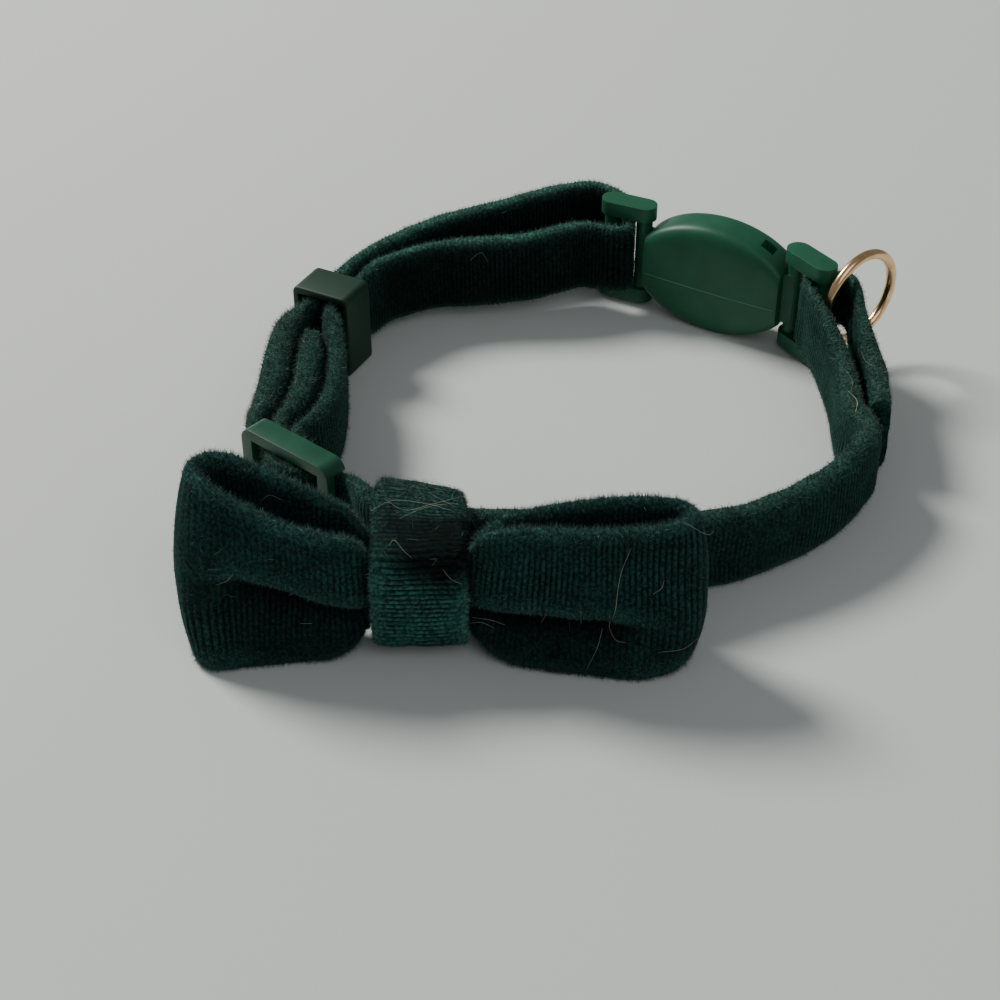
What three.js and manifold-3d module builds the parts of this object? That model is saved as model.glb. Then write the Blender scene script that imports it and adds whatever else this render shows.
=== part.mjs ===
// Pet bow tie collar: a ribbed velvet strap that stands on its edge in a closed loop, with a folded
// velvet bow, a knot band, a slider, a keeper, a two-part side buckle and a wire tag ring.
// Millimetres, +Z up. The bow faces -Y and the buckle is at the back right.
import * as THREE from 'three';
import { mergeVertices } from 'three/addons/utils/BufferGeometryUtils.js';
import Module from 'manifold-3d';

const wasm = await Module();
wasm.setup();

// Driving dimensions
const STRAP_WIDTH = 9.8;
const BOW_WALL = 1.5;
const KNOT_WALL = 1.4;
const STEP_ALONG_STRAP = 2.6;
const STEP_ALONG_BOW = 2.4;
const STEP_ALONG_KNOT = 2.2;

// Middle of the whole collar seen from above, in the plan coordinates of the tables below
const PLAN_CENTRE = [8.24, 12.32];

// Slider: middle, direction along the strap, and sizes
const SLIDER = {
  middle: [-23.4, -6.4],
  along: [0.769, -0.639],
  length: 13.6,
  thickness: 3.0,
  height: 13.2,
  windowLength: 10.4,
  windowHeight: 10.4,
  endBarInnerFace: -0.3,
  centreBarLength: 1.1,
  centreBarFaces: [0.55, 1.4],
  cornerRadius: 1.6,
};

// Keeper: middle, direction along the strap, and sizes
const KEEPER = {
  middle: [-21.75, 30.1],
  along: [0.46, 0.888],
  length: 5.6,
  across: 8.2,
  height: 11.8,
  windowAcross: 6.5,
  windowHeight: 9.8,
  cornerRadius: 0.9,
};

// Buckle: middle of the oval shell, its long direction, and sizes
const BUCKLE = {
  middle: [29.05, 39.1],
  along: [0.861, -0.509],
  shellLength: 19.6,
  shellHeight: 15.5,
  shellThickness: 6.6,
  outlineHalfLength: 11.5,
  mouthDepth: 12.5,
  mouthHeight: 8.2,
  mouthThickness: 3.2,
  tongueHeight: 7.2,
  tongueThickness: 2.2,
  clearance: 0.35,
};

// Strap frames of the buckle: place of the neck bar and of the far bar, in plan
const FRAME = {
  left: { neck: [19.45, 44.75], bar: [15.3, 46.7] },
  right: { neck: [38.5, 33.3], bar: [41.3, 29.2] },
  barRadius: 1.1,
  armHalfWidth: 1.6,
  windowHeight: 10.4,
  armThickness: 2.0,
  middleHeight: 7.9,
};

// Tag ring: the wire passes through the strap's fold at this place
const RING = {
  eye: [41.6, 25.6],
  outward: [0.78, 0.626],
  radius: 5.9,
  wireRadius: 0.66,
  middleHeight: 10.3,
};

// Turns a place along (s) and across (n) a straight piece into plan coordinates
function placeOn(piece, s, n) {
  const [ax, ay] = piece.along;
  return [piece.middle[0] + s * ax - n * ay, piece.middle[1] + s * ay + n * ax];
}

// Route of the strap: x, y, height of its middle, thickness, and width where it is gathered
const onSlider = (s, n, middle, thick) => [...placeOn(SLIDER, s, n), middle, thick];
const strapRoute = [
  // the sewn return outside the right-hand fold
  [45.5, 6.4, 5.0, 2.7],
  [45.8, 9.5, 5.0, 2.9],
  [46.0, 13.5, 5.3, 2.9],
  [45.7, 18.0, 6.2, 2.5],
  [45.3, 22.5, 7.8, 1.7, 9.4],
  [45.1, 26.4, 10.0, 1.3, 7.6],
  [44.4, 29.4, 9.85, 1.3, 7.7],
  [42.4, 31.3, 8.4, 1.3, 8.9],
  [40.1, 31.1, 7.9, 1.3],
  [39.1, 29.3, 7.9, 1.3],
  [39.5, 27.3, 7.9, 1.3],
  [39.9, 25.2, 7.8, 1.3],
  [41.0, 21.5, 7.0, 2.0],
  [41.9, 17.5, 6.0, 2.5],
  [42.3, 13.5, 5.3, 2.9],
  [42.2, 9.5, 5.0, 2.9],
  [42.3, 6.0, 5.0, 2.9],
  // the single strap round the front right corner
  [43.4, 2.0, 5.0, 3.2],
  [41.2, -2.6, 5.0, 3.3],
  [38.3, -6.3, 5.0, 3.3],
  [34.4, -9.7, 5.0, 3.3],
  [30.5, -12.3, 5.0, 3.3],
  [26.8, -14.2, 5.0, 3.3],
  [22.8, -15.7, 5.3, 3.3],
  [18.6, -17.2, 5.9, 3.2],
  [13.5, -18.8, 6.9, 3.0],
  [7.5, -19.6, 7.9, 2.8],
  [1.5, -19.4, 8.6, 2.8],
  [-3.8, -18.7, 8.3, 2.8],
  [-8.5, -17.9, 8.1, 2.7, 9.4],
  [-12.2, -16.5, 8.2, 2.7, 9.4],
  [-14.6, -14.2, 7.7, 2.5],
  // over the slider's centre bar and behind its two end bars
  onSlider(8.6, 0.8, 7.0, 1.9),
  onSlider(6.9, 1.0, 6.6, 1.4),
  onSlider(5.0, 0.9, 6.6, 1.3),
  onSlider(3.2, -0.7, 6.6, 1.3),
  onSlider(1.6, -1.85, 6.6, 1.3),
  onSlider(0.0, -2.15, 6.6, 1.3),
  onSlider(-1.6, -1.9, 6.6, 1.3),
  onSlider(-3.4, -0.65, 6.6, 1.3),
  onSlider(-5.2, 0.8, 6.6, 1.3),
  onSlider(-7.2, 1.2, 6.6, 1.5),
  // the outer layer up the left side, through the keeper and along the rear
  [-28.7, 2.0, 6.4, 2.2],
  [-28.0, 5.6, 6.3, 3.2],
  [-27.5, 10.0, 6.2, 3.7],
  [-27.35, 16.0, 6.2, 3.7],
  [-26.8, 22.3, 6.2, 3.2],
  [-25.4, 26.7, 5.9, 2.2, 9.2],
  [-22.8, 31.1, 5.9, 2.0, 9.2],
  [-20.9, 34.8, 6.0, 2.2, 9.3],
  [-18.0, 38.9, 6.3, 2.5],
  [-14.4, 42.4, 6.6, 2.9],
  [-10.2, 45.4, 6.9, 3.1],
  [-5.6, 47.9, 7.2, 3.2],
  [0.2, 50.4, 7.5, 3.2],
  [4.9, 52.6, 7.7, 3.1],
  [8.9, 54.2, 7.9, 3.0],
  [12.7, 54.7, 8.0, 2.6],
  [15.6, 53.2, 8.0, 2.0],
  [17.5, 50.8, 7.9, 1.5],
  [17.9, 48.6, 7.9, 1.3],
  // round the bar of the left buckle frame and back as the inner layer
  [17.4, 46.2, 7.9, 1.3],
  [17.35, 44.4, 7.9, 1.6],
  [17.1, 43.0, 7.9, 1.9],
  [15.4, 42.7, 7.9, 2.0],
  [13.3, 43.6, 7.8, 2.1],
  [10.9, 44.2, 7.7, 2.5],
  [8.0, 43.4, 7.4, 3.0],
  [4.2, 42.3, 7.1, 3.2],
  [0.0, 41.6, 6.9, 3.2],
  [-4.6, 41.3, 6.7, 3.1],
  [-9.3, 40.7, 6.5, 2.9],
  [-13.2, 39.0, 6.3, 2.5],
  [-16.3, 36.4, 6.2, 2.3],
  [-18.5, 33.3, 5.9, 2.1, 9.2],
  [-20.4, 29.9, 5.9, 2.0, 9.2],
  [-21.7, 26.4, 5.9, 2.1, 9.3],
  [-20.8, 22.2, 6.2, 2.2],
  [-20.1, 16.0, 6.2, 2.3],
  [-20.0, 10.0, 6.2, 2.3],
  [-20.4, 6.0, 6.3, 2.3],
  [-21.7, 2.2, 6.4, 2.1],
  // the end folded round the centre bar and sewn back between the two layers
  onSlider(-3.2, 3.4, 6.6, 1.4),
  onSlider(-0.4, 2.45, 6.6, 1.2),
  onSlider(1.2, 2.1, 6.6, 1.2),
  onSlider(1.8, 1.0, 6.6, 1.2),
  onSlider(1.1, 0.0, 6.6, 1.2),
  onSlider(-0.4, -0.4, 6.6, 1.2),
  onSlider(-2.0, 0.4, 6.6, 1.2),
  onSlider(-4.6, 2.5, 6.6, 1.3),
  [-25.6, 1.4, 6.4, 2.0],
  [-24.4, 4.6, 6.3, 2.8],
  [-23.6, 8.5, 6.2, 3.5],
  [-23.4, 14.0, 6.2, 3.6],
  [-23.4, 20.0, 6.2, 2.9],
].map(([x, y, middle, thick, width = STRAP_WIDTH]) => ({ x, y, middle, thick, width }));

// Bow, as one closed band seen from above: wall middle x and y, lower and upper edge, how far the top
// leans back, depth of the pleat across the front, height of the pleat's lip, how far the end bulges
const bowRows = [
  // rear of the knot and of the left wing
  [-8.5, -23.2, 3.9, 12.7, 0, 0, 8],
  [-13.7, -23.1, 3.7, 12.8, 0, 0, 8],
  [-16.2, -23.1, 1.6, 17.0, 0.3, 0, 8],
  [-19.5, -23.0, 0.7, 18.6, 1.4, 0, 8],
  [-24.0, -22.8, 0.2, 20.2, 3.6, 0, 8],
  [-28.2, -22.3, 0, 21.1, 5.8, 0, 8, 0.3],
  // left end, leaning back
  [-30.7, -22.5, 0.2, 21.0, 6.8, 0, 9, 0.9],
  [-31.9, -24.2, 0.4, 20.9, 7.3, 0, 10, 1.9],
  [-30.6, -25.9, 0.2, 20.5, 6.6, 0.3, 11.6, 1.1],
  // front of the left wing
  [-27.2, -26.5, 0, 19.0, 4.2, 1.2, 11.6, 0.4],
  [-22.5, -27.0, 0, 17.3, 2.2, 2.0, 10.1],
  [-18.2, -27.2, 0.2, 16.4, 1.0, 2.1, 8.5],
  [-15.9, -26.8, 1.3, 16.0, 0.4, 1.7, 7.7],
  [-14.7, -26.2, 3.0, 14.9, 0, 1.0, 7.3],
  [-13.9, -25.7, 3.8, 12.7, 0, 0.6, 7.2],
  [-8.5, -25.4, 3.9, 12.7, 0, 0.2, 7.0],
  // front of the right wing
  [-3.1, -25.7, 3.8, 12.7, 0, 0.6, 6.8],
  [-2.2, -26.5, 2.6, 16.0, 0.2, 1.4, 7.6],
  [-0.6, -27.3, 1.2, 17.2, 0.7, 2.3, 8.0],
  [1.6, -27.9, 0.4, 17.6, 1.2, 2.8, 8.2],
  [5.5, -28.5, 0.1, 17.9, 1.6, 2.9, 8.3],
  [10.5, -29.1, 0, 18.0, 2.3, 2.1, 8.2],
  [14.6, -29.1, 0, 18.0, 3.0, 0.5, 7.8, 0.3],
  // right end and the rear of the right wing
  [18.3, -28.0, 0.3, 17.9, 3.3, 0, 7.4, 1.0],
  [19.7, -26.2, 0.8, 17.8, 3.0, 0, 7, 1.6],
  [18.7, -24.3, 0.4, 17.8, 2.2, 0, 7, 0.8],
  [15.6, -23.4, 0, 18.0, 1.2, 0, 7],
  [10.5, -23.3, 0.2, 18.0, 0.6, 0, 7],
  [5.0, -23.4, 0.5, 17.3, 0.2, 0, 7],
  [0.5, -23.4, 1.2, 16.2, 0, 0, 7],
  [-3.3, -23.2, 3.7, 12.8, 0, 0, 8],
].map(([x, y, low, top, lean, fold, lip, belly = 0]) => ({ x, y, low, top, lean, fold, lip, belly }));

// Knot band round the bow and the strap, seen from the side: wall middle y and z, width, and how far
// the section turns with the strap behind it
const knotRows = [
  [-28.3, 4.8, 10.2, 0],
  [-28.4, 8.0, 10.2, 0],
  [-28.1, 11.2, 10.2, 0],
  [-27.0, 13.5, 10.3, 0],
  [-24.0, 14.2, 10.4, 0],
  [-20.6, 14.25, 10.4, -0.12],
  [-17.4, 14.25, 10.0, -0.24],
  [-15.2, 13.3, 9.0, -0.28],
  [-14.8, 10.8, 8.6, -0.3],
  [-14.8, 6.6, 8.6, -0.3],
  [-14.9, 2.8, 8.6, -0.28],
  [-17.4, 2.0, 9.6, -0.15],
  [-21.5, 2.0, 10.2, 0],
  [-25.2, 2.0, 10.2, 0],
  [-27.6, 2.6, 10.2, 0],
].map(([y, z, width, turn]) => ({ y, z, width, turn }));
const KNOT_X = -8.5;

// Runs a smooth curve through the rows and gives evenly fine stations, with every column blended
function stations(rows, placeOf, step, closed) {
  const curve = new THREE.CatmullRomCurve3(rows.map(placeOf), closed, 'centripetal');
  const spans = closed ? rows.length : rows.length - 1;
  const result = [];
  for (let i = 0; i < spans; i += 1) {
    const from = rows[i];
    const to = rows[(i + 1) % rows.length];
    const count = Math.max(1, Math.round(placeOf(from).distanceTo(placeOf(to)) / step));
    const steps = !closed && i === spans - 1 ? count + 1 : count;
    for (let k = 0; k < steps; k += 1) {
      const f = k / count;
      const t = (i + f) / spans;
      const blend = {};
      for (const key of Object.keys(from)) blend[key] = THREE.MathUtils.lerp(from[key], to[key], f);
      result.push({ ...blend, centre: curve.getPoint(t), tangent: curve.getTangent(t) });
    }
  }
  return result;
}

// Joins rings of points into one closed body, with flat ends or closed on itself
function loft(rings, closed) {
  const size = rings[0].length;
  const positions = rings.flat().flatMap((p) => [p.x, p.y, p.z]);
  const index = [];
  const spans = closed ? rings.length : rings.length - 1;
  for (let i = 0; i < spans; i += 1) {
    const a = i * size;
    const b = ((i + 1) % rings.length) * size;
    for (let k = 0; k < size; k += 1) {
      const n = (k + 1) % size;
      index.push(a + k, a + n, b + n, a + k, b + n, b + k);
    }
  }
  if (!closed) {
    const last = (rings.length - 1) * size;
    for (let k = 1; k < size - 1; k += 1) {
      index.push(0, k + 1, k, last, last + k, last + k + 1);
    }
  }
  const geometry = new THREE.BufferGeometry();
  geometry.setAttribute('position', new THREE.Float32BufferAttribute(positions, 3));
  geometry.setIndex(index);
  return facingOut(geometry);
}

// Turns the faces round if the body's volume comes out negative
function facingOut(geometry) {
  const position = geometry.getAttribute('position');
  const index = Array.from(geometry.getIndex().array);
  const corner = (i) => new THREE.Vector3().fromBufferAttribute(position, index[i]);
  let volume = 0;
  for (let i = 0; i < index.length; i += 3) {
    volume += corner(i).dot(corner(i + 1).cross(corner(i + 2)));
  }
  if (volume < 0) {
    for (let i = 0; i < index.length; i += 3) {
      [index[i + 1], index[i + 2]] = [index[i + 2], index[i + 1]];
    }
    geometry.setIndex(index);
  }
  geometry.computeVertexNormals();
  return geometry;
}

// Rounded section of a flat tube, as fractions of its thickness and its width
const ROUNDED_SECTION = [
  [-0.5, -0.3],
  [-0.26, -0.5],
  [0.26, -0.5],
  [0.5, -0.3],
  [0.5, 0.3],
  [0.26, 0.5],
  [-0.26, 0.5],
  [-0.5, 0.3],
];

function sectionRing(centre, across, thick, upward, width) {
  return ROUNDED_SECTION.map(([n, w]) =>
    centre.clone().addScaledVector(across, n * thick).addScaledVector(upward, w * width),
  );
}

function velvetStrap() {
  const up = new THREE.Vector3(0, 0, 1);
  const place = (row) => new THREE.Vector3(row.x, row.y, row.middle);
  const rings = stations(strapRoute, place, STEP_ALONG_STRAP, false).map((s) => {
    const across = new THREE.Vector3().crossVectors(up, s.tangent).normalize();
    return sectionRing(s.centre, across, s.thick, up, s.width);
  });
  return loft(rings, false);
}

// Outline of the bow's wall from its lower to its upper edge: distance outward from the band, height
function bowOutline({ low, top, fold, lip, belly }) {
  const levels = [
    [low, 0],
    [(low + lip) / 2 - 0.8, 0.2],
    [lip - 1.3, -1],
    [lip, 0.35],
    [lip + 1.9, 0.4],
    [(lip + 1.9 + top) / 2, 0.1],
    [top, 0],
  ];
  return levels.map(([z, share]) => {
    const height = (z - low) / (top - low);
    return new THREE.Vector2(share * fold + belly * 4 * height * (1 - height), z);
  });
}

// Moves each point of an open outline to one side of it
function beside(outline, distance) {
  return outline.map((point, i) => {
    const before = outline[Math.max(i - 1, 0)];
    const after = outline[Math.min(i + 1, outline.length - 1)];
    const run = after.clone().sub(before).normalize();
    return new THREE.Vector2(point.x + run.y * distance, point.y - run.x * distance);
  });
}

function bowRibbon() {
  const up = new THREE.Vector3(0, 0, 1);
  const place = (row) => new THREE.Vector3(row.x, row.y, 0);
  const rings = stations(bowRows, place, STEP_ALONG_BOW, true).map((s) => {
    const outward = new THREE.Vector3().crossVectors(s.tangent, up).normalize();
    const outline = bowOutline(s);
    const face = (side) =>
      beside(outline, side * BOW_WALL * 0.5).map((place2d, i) => {
        const height = (outline[i].y - s.low) / (s.top - s.low);
        const point = s.centre.clone().addScaledVector(outward, place2d.x);
        return new THREE.Vector3(point.x, point.y + s.lean * (height - 0.5), Math.max(place2d.y, 0));
      });
    return [...face(1), ...face(-1).reverse()];
  });
  return loft(rings, true);
}

function knotBand() {
  const place = (row) => new THREE.Vector3(KNOT_X, row.y, row.z);
  const rings = stations(knotRows, place, STEP_ALONG_KNOT, true).map((s) => {
    const sideways = new THREE.Vector3(1, s.turn, 0).normalize();
    const outward = new THREE.Vector3().crossVectors(sideways, s.tangent).normalize();
    return sectionRing(s.centre, outward, KNOT_WALL, sideways, s.width);
  });
  return loft(rings, true);
}

// Solids for joining and cutting
function toSolid(geometry) {
  const bare = geometry.clone();
  bare.deleteAttribute('normal');
  bare.deleteAttribute('uv');
  const merged = mergeVertices(bare, 1e-4);
  return new wasm.Manifold(
    new wasm.Mesh({
      numProp: 3,
      vertProperties: new Float32Array(merged.getAttribute('position').array),
      triVerts: new Uint32Array(merged.getIndex().array),
    }),
  );
}

function toGeometry(solid) {
  const mesh = solid.getMesh();
  const geometry = new THREE.BufferGeometry();
  geometry.setAttribute('position', new THREE.Float32BufferAttribute(mesh.vertProperties, 3));
  geometry.setIndex(Array.from(mesh.triVerts));
  geometry.computeVertexNormals();
  return geometry;
}

// Puts a body made with X along, Y across (inward) and Z up onto a piece's middle and direction
function putOn(piece, geometry) {
  const [ax, ay] = piece.along;
  const matrix = new THREE.Matrix4().makeBasis(
    new THREE.Vector3(ax, ay, 0),
    new THREE.Vector3(-ay, ax, 0),
    new THREE.Vector3(0, 0, 1),
  );
  matrix.setPosition(piece.middle[0], piece.middle[1], 0);
  return geometry.applyMatrix4(matrix);
}

// Box given by its lowest and highest corner
function boxBetween([x0, y0, z0], [x1, y1, z1]) {
  const box = new THREE.BoxGeometry(x1 - x0, y1 - y0, z1 - z0);
  return box.translate((x0 + x1) / 2, (y0 + y1) / 2, (z0 + z1) / 2);
}

// Upright plate with rounded corners, seen from its flat side
function roundedPlate(length, height, thickness, radius) {
  const x = length / 2 - radius;
  const shape = new THREE.Shape();
  shape.absarc(x, radius, radius, -Math.PI / 2, 0);
  shape.absarc(x, height - radius, radius, 0, Math.PI / 2);
  shape.absarc(-x, height - radius, radius, Math.PI / 2, Math.PI);
  shape.absarc(-x, radius, radius, Math.PI, Math.PI * 1.5);
  const plate = new THREE.ExtrudeGeometry(shape, {
    depth: thickness,
    bevelEnabled: false,
    curveSegments: 4,
  });
  plate.rotateX(Math.PI / 2);
  return plate.translate(0, thickness / 2, 0);
}

function slider() {
  const s = SLIDER;
  const low = (s.height - s.windowHeight) / 2;
  const high = s.height - low;
  const half = s.windowLength / 2;
  const face = s.thickness / 2;
  const beyond = 1;
  const bar = s.centreBarLength / 2;
  const overlap = 0.4;
  const plate = toSolid(roundedPlate(s.length, s.height, s.thickness, s.cornerRadius));
  const window = toSolid(boxBetween([-half, -face - beyond, low], [half, face + beyond, high]));
  const strapPath = toSolid(
    boxBetween([-s.length, s.endBarInnerFace, low], [s.length, face + beyond, high]),
  );
  const [barFront, barRear] = s.centreBarFaces;
  const centreBar = toSolid(
    boxBetween([-bar, barFront, low - overlap], [bar, barRear, high + overlap]),
  );
  const solid = plate.subtract(window).subtract(strapPath).add(centreBar);
  return putOn(s, toGeometry(solid));
}

function keeper() {
  const k = KEEPER;
  const low = (k.height - k.windowHeight) / 2;
  const block = roundedPlate(k.across, k.height, k.length, k.cornerRadius).rotateZ(Math.PI / 2);
  const half = k.windowAcross / 2;
  const window = boxBetween([-k.length, -half, low], [k.length, half, k.height - low]);
  return putOn(k, toGeometry(toSolid(block).subtract(toSolid(window))));
}

// Strap frame of the buckle: a neck bar, a round far bar and two flat arms above and below the strap
function strapFrame({ neck, bar }) {
  const f = FRAME;
  const length = Math.hypot(bar[0] - neck[0], bar[1] - neck[1]);
  const low = f.middleHeight - f.windowHeight / 2 - f.armThickness;
  const height = f.windowHeight + 2 * f.armThickness;
  const arm = new THREE.Shape();
  arm.absarc(length, 0, f.armHalfWidth, -Math.PI / 2, Math.PI / 2);
  arm.absarc(0, 0, f.armHalfWidth, Math.PI / 2, Math.PI * 1.5);
  const armPlate = new THREE.ExtrudeGeometry(arm, {
    depth: f.armThickness,
    bevelEnabled: false,
    curveSegments: 8,
  });
  const upperArm = armPlate.clone().translate(0, 0, low + height - f.armThickness);
  const lowerArm = armPlate.translate(0, 0, low);
  const inset = 0.3;
  const pillar = (x, radius) => {
    const post = new THREE.CylinderGeometry(radius, radius, height - 2 * inset, 12);
    return post.rotateX(Math.PI / 2).translate(x, 0, low + height / 2);
  };
  const frame = toSolid(upperArm)
    .add(toSolid(lowerArm))
    .add(toSolid(pillar(length, f.barRadius)))
    .add(toSolid(pillar(0, f.barRadius)));
  const along = [(bar[0] - neck[0]) / length, (bar[1] - neck[1]) / length];
  return toSolid(putOn({ middle: neck, along }, toGeometry(frame)));
}

// Oval shell: rounded sections that follow an ellipse cut off at both ends
function shellBody() {
  const b = BUCKLE;
  const count = 14;
  const around = 16;
  const rings = [];
  for (let i = 0; i <= count; i += 1) {
    const s = (i / count - 0.5) * b.shellLength;
    const fullness = Math.sqrt(1 - (s / b.outlineHalfLength) ** 2);
    const halfHeight = (b.shellHeight / 2) * fullness;
    const halfThick = (b.shellThickness / 2) * (0.8 + 0.2 * fullness);
    const ring = [];
    for (let k = 0; k < around; k += 1) {
      const angle = (k / around) * Math.PI * 2;
      const round = (v) => Math.sign(v) * Math.abs(v) ** 0.55;
      ring.push(
        new THREE.Vector3(
          s,
          halfThick * round(Math.cos(angle)),
          b.shellHeight / 2 + halfHeight * round(Math.sin(angle)),
        ),
      );
    }
    rings.push(ring);
  }
  return loft(rings, false);
}

function buckleFemale() {
  const b = BUCKLE;
  const end = b.shellLength / 2;
  const middle = b.shellHeight / 2;
  const halfMouth = b.mouthHeight / 2;
  const halfGap = b.mouthThickness / 2;
  const mouth = boxBetween(
    [-end - 1, -halfGap, middle - halfMouth],
    [-end + b.mouthDepth, halfGap, middle + halfMouth],
  );
  const sideWindow = boxBetween([6.0, -0.9, middle + 3.4], [7.8, 0.9, b.shellHeight]);
  const neckBlock = boxBetween([end - 1.0, -1.3, middle - 3.6], [end + 1.6, 1.3, middle + 3.6]);
  const shell = toSolid(putOn(b, shellBody()))
    .subtract(toSolid(putOn(b, mouth)))
    .subtract(toSolid(putOn(b, sideWindow)))
    .add(toSolid(putOn(b, neckBlock)));
  return toGeometry(shell.add(strapFrame(FRAME.right)));
}

function buckleMale() {
  const b = BUCKLE;
  const end = b.shellLength / 2;
  const middle = b.shellHeight / 2;
  const half = b.tongueHeight / 2;
  const thick = b.tongueThickness / 2;
  const tip = -end + b.mouthDepth - b.clearance;
  const tongue = boxBetween([-end - 1.6, -thick, middle - half], [tip, thick, middle + half]);
  const slit = boxBetween([-end + 4, -thick - 1, middle - 1.1], [tip + 1, thick + 1, middle + 1.1]);
  const prongs = toSolid(putOn(b, tongue)).subtract(toSolid(putOn(b, slit)));
  return toGeometry(prongs.add(strapFrame(FRAME.left)));
}

function tagRing() {
  const r = RING;
  const ring = new THREE.TorusGeometry(r.radius, r.wireRadius, 8, 32);
  ring.rotateX(Math.PI / 2);
  ring.rotateZ(Math.atan2(r.outward[1], r.outward[0]));
  return ring.translate(
    r.eye[0] + r.radius * r.outward[0],
    r.eye[1] + r.radius * r.outward[1],
    r.middleHeight,
  );
}

const velvet = { color: 0x0b3a31, roughness: 0.95, metalness: 0 };
const plastic = { color: 0x1f5a43, roughness: 0.45, metalness: 0 };
const copper = { color: 0xb87343, roughness: 0.25, metalness: 1 };

const pieces = [
  ['velvet_strap', velvetStrap(), velvet],
  ['bow_ribbon', bowRibbon(), velvet],
  ['knot_band', knotBand(), velvet],
  ['slider', slider(), plastic],
  ['keeper', keeper(), plastic],
  ['buckle_female', buckleFemale(), plastic],
  ['buckle_male', buckleMale(), plastic],
  ['tag_ring', tagRing(), copper],
];

const collar = new THREE.Group();
for (const [name, geometry, look] of pieces) {
  const mesh = new THREE.Mesh(geometry, new THREE.MeshStandardMaterial(look));
  mesh.name = name;
  collar.add(mesh);
}
collar.position.set(-PLAN_CENTRE[0], -PLAN_CENTRE[1], 0);
collar.updateMatrixWorld(true);

const group = new THREE.Group();
group.add(collar);

export default group;
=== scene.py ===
"""Pet bow tie collar in ribbed velvet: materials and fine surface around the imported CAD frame."""

import math
import bmesh
import bpy
import numpy as np
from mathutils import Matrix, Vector
from mathutils.bvhtree import BVHTree


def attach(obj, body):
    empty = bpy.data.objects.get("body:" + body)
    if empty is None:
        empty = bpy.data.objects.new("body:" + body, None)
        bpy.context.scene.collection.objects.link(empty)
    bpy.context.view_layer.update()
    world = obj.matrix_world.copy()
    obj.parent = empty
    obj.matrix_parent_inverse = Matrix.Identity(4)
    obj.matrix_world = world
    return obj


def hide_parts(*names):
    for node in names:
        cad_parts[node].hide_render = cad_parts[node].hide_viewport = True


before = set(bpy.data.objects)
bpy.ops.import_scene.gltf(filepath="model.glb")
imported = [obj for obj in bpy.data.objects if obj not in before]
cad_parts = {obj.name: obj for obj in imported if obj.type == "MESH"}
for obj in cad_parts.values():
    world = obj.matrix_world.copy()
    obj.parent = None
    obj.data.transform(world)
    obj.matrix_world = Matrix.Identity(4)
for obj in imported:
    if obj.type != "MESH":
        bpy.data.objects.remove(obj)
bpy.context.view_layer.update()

MM = 0.001

# Middle of the collar in the plan coordinates of the tables below, as in the part's source
PLAN_CENTRE = (8.24, 12.32)

# Camera: pitch of its view, field of view, and distance to the ground point in the picture's middle
CAMERA_PITCH = math.radians(38.0)
CAMERA_FIELD = math.radians(30.0)
CAMERA_DISTANCE = 223.0

# Velvet sizes in millimetres
STRAP_WIDTH = 9.8
BOW_WALL = 1.5
KNOT_WALL = 1.4
RIB_PITCH = 0.58
STATIONS_PER_RIB = 4
RIB_DEPTH = 0.11
BOW_UNEVENNESS = 0.16
BOW_WANDER = 0.25

# Section of the velvet tubes: sides, width to thickness, and how square the faces and the edges are
TUBE_SIDES = 24
TUBE_FLATNESS = 3.3
FACE_SQUARENESS = 0.5
EDGE_SQUARENESS = 0.6
TUBE_UNEVENNESS = 0.10
TUBE_WANDER = 0.22

# Crease along the middle of a face: its half-width, drift and reach as shares of the tube's width
CREASE_HALF_WIDTH = 0.075
CREASE_DRIFT = 0.08
CREASE_REACH = 0.42
STRAP_CREASE_DEPTH = 0.25

# How squarely the sections of the buckle's shell are cut: 1 is an ellipse and 0 a rectangle
SHELL_SQUARENESS = 0.42
EDGE_ROUNDING = {"slider": 0.42, "keeper": 0.4, "buckle": 0.25}

# Edges sharper than the first are rounded, and those sharper than the second stay crisp
ROUNDED_ANGLE = math.radians(32)
CRISP_ANGLE = math.radians(38)

SLIDER = {
    "middle": (-23.4, -6.4),
    "along": (0.769, -0.639),
    "length": 13.6,
    "thickness": 3.0,
    "height": 13.2,
    "window_length": 10.4,
    "window_height": 10.4,
    "end_bar_inner_face": -0.3,
    "centre_bar_length": 1.1,
    "centre_bar_faces": (0.55, 1.4),
    "corner": 1.6,
}
KEEPER = {
    "middle": (-21.75, 30.1),
    "along": (0.46, 0.888),
    "length": 5.6,
    "across": 8.2,
    "height": 11.8,
    "window_across": 6.5,
    "window_height": 9.8,
    "corner": 0.9,
}
BUCKLE = {
    "middle": (29.05, 39.1),
    "along": (0.861, -0.509),
    "shell_length": 19.6,
    "shell_height": 15.5,
    "shell_thickness": 6.6,
    "outline_half_length": 11.5,
    "mouth_depth": 12.5,
    "mouth_height": 8.2,
    "mouth_thickness": 3.2,
    "tongue_height": 7.2,
    "tongue_thickness": 2.2,
    "clearance": 0.35,
}
FRAME_SIZES = {
    "bar_radius": 1.1,
    "arm_half_width": 1.6,
    "window_height": 10.4,
    "arm_thickness": 2.0,
    "middle_height": 7.9,
}
LEFT_FRAME = {"neck": (19.45, 44.75), "bar": (15.3, 46.7)}
RIGHT_FRAME = {"neck": (38.5, 33.3), "bar": (41.3, 29.2)}
RING = {
    "eye": (41.6, 25.6),
    "outward": (0.78, 0.626),
    "radius": 5.9,
    "wire_radius": 0.66,
    "middle_height": 10.3,
}


def place_on(piece, s, n):
    """Plan coordinates of a place along (s) and across (n) a straight piece."""
    ax, ay = piece["along"]
    mx, my = piece["middle"]
    return (mx + s * ax - n * ay, my + s * ay + n * ax)


def on_slider(s, n, middle, thick):
    return (*place_on(SLIDER, s, n), middle, thick)


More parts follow.
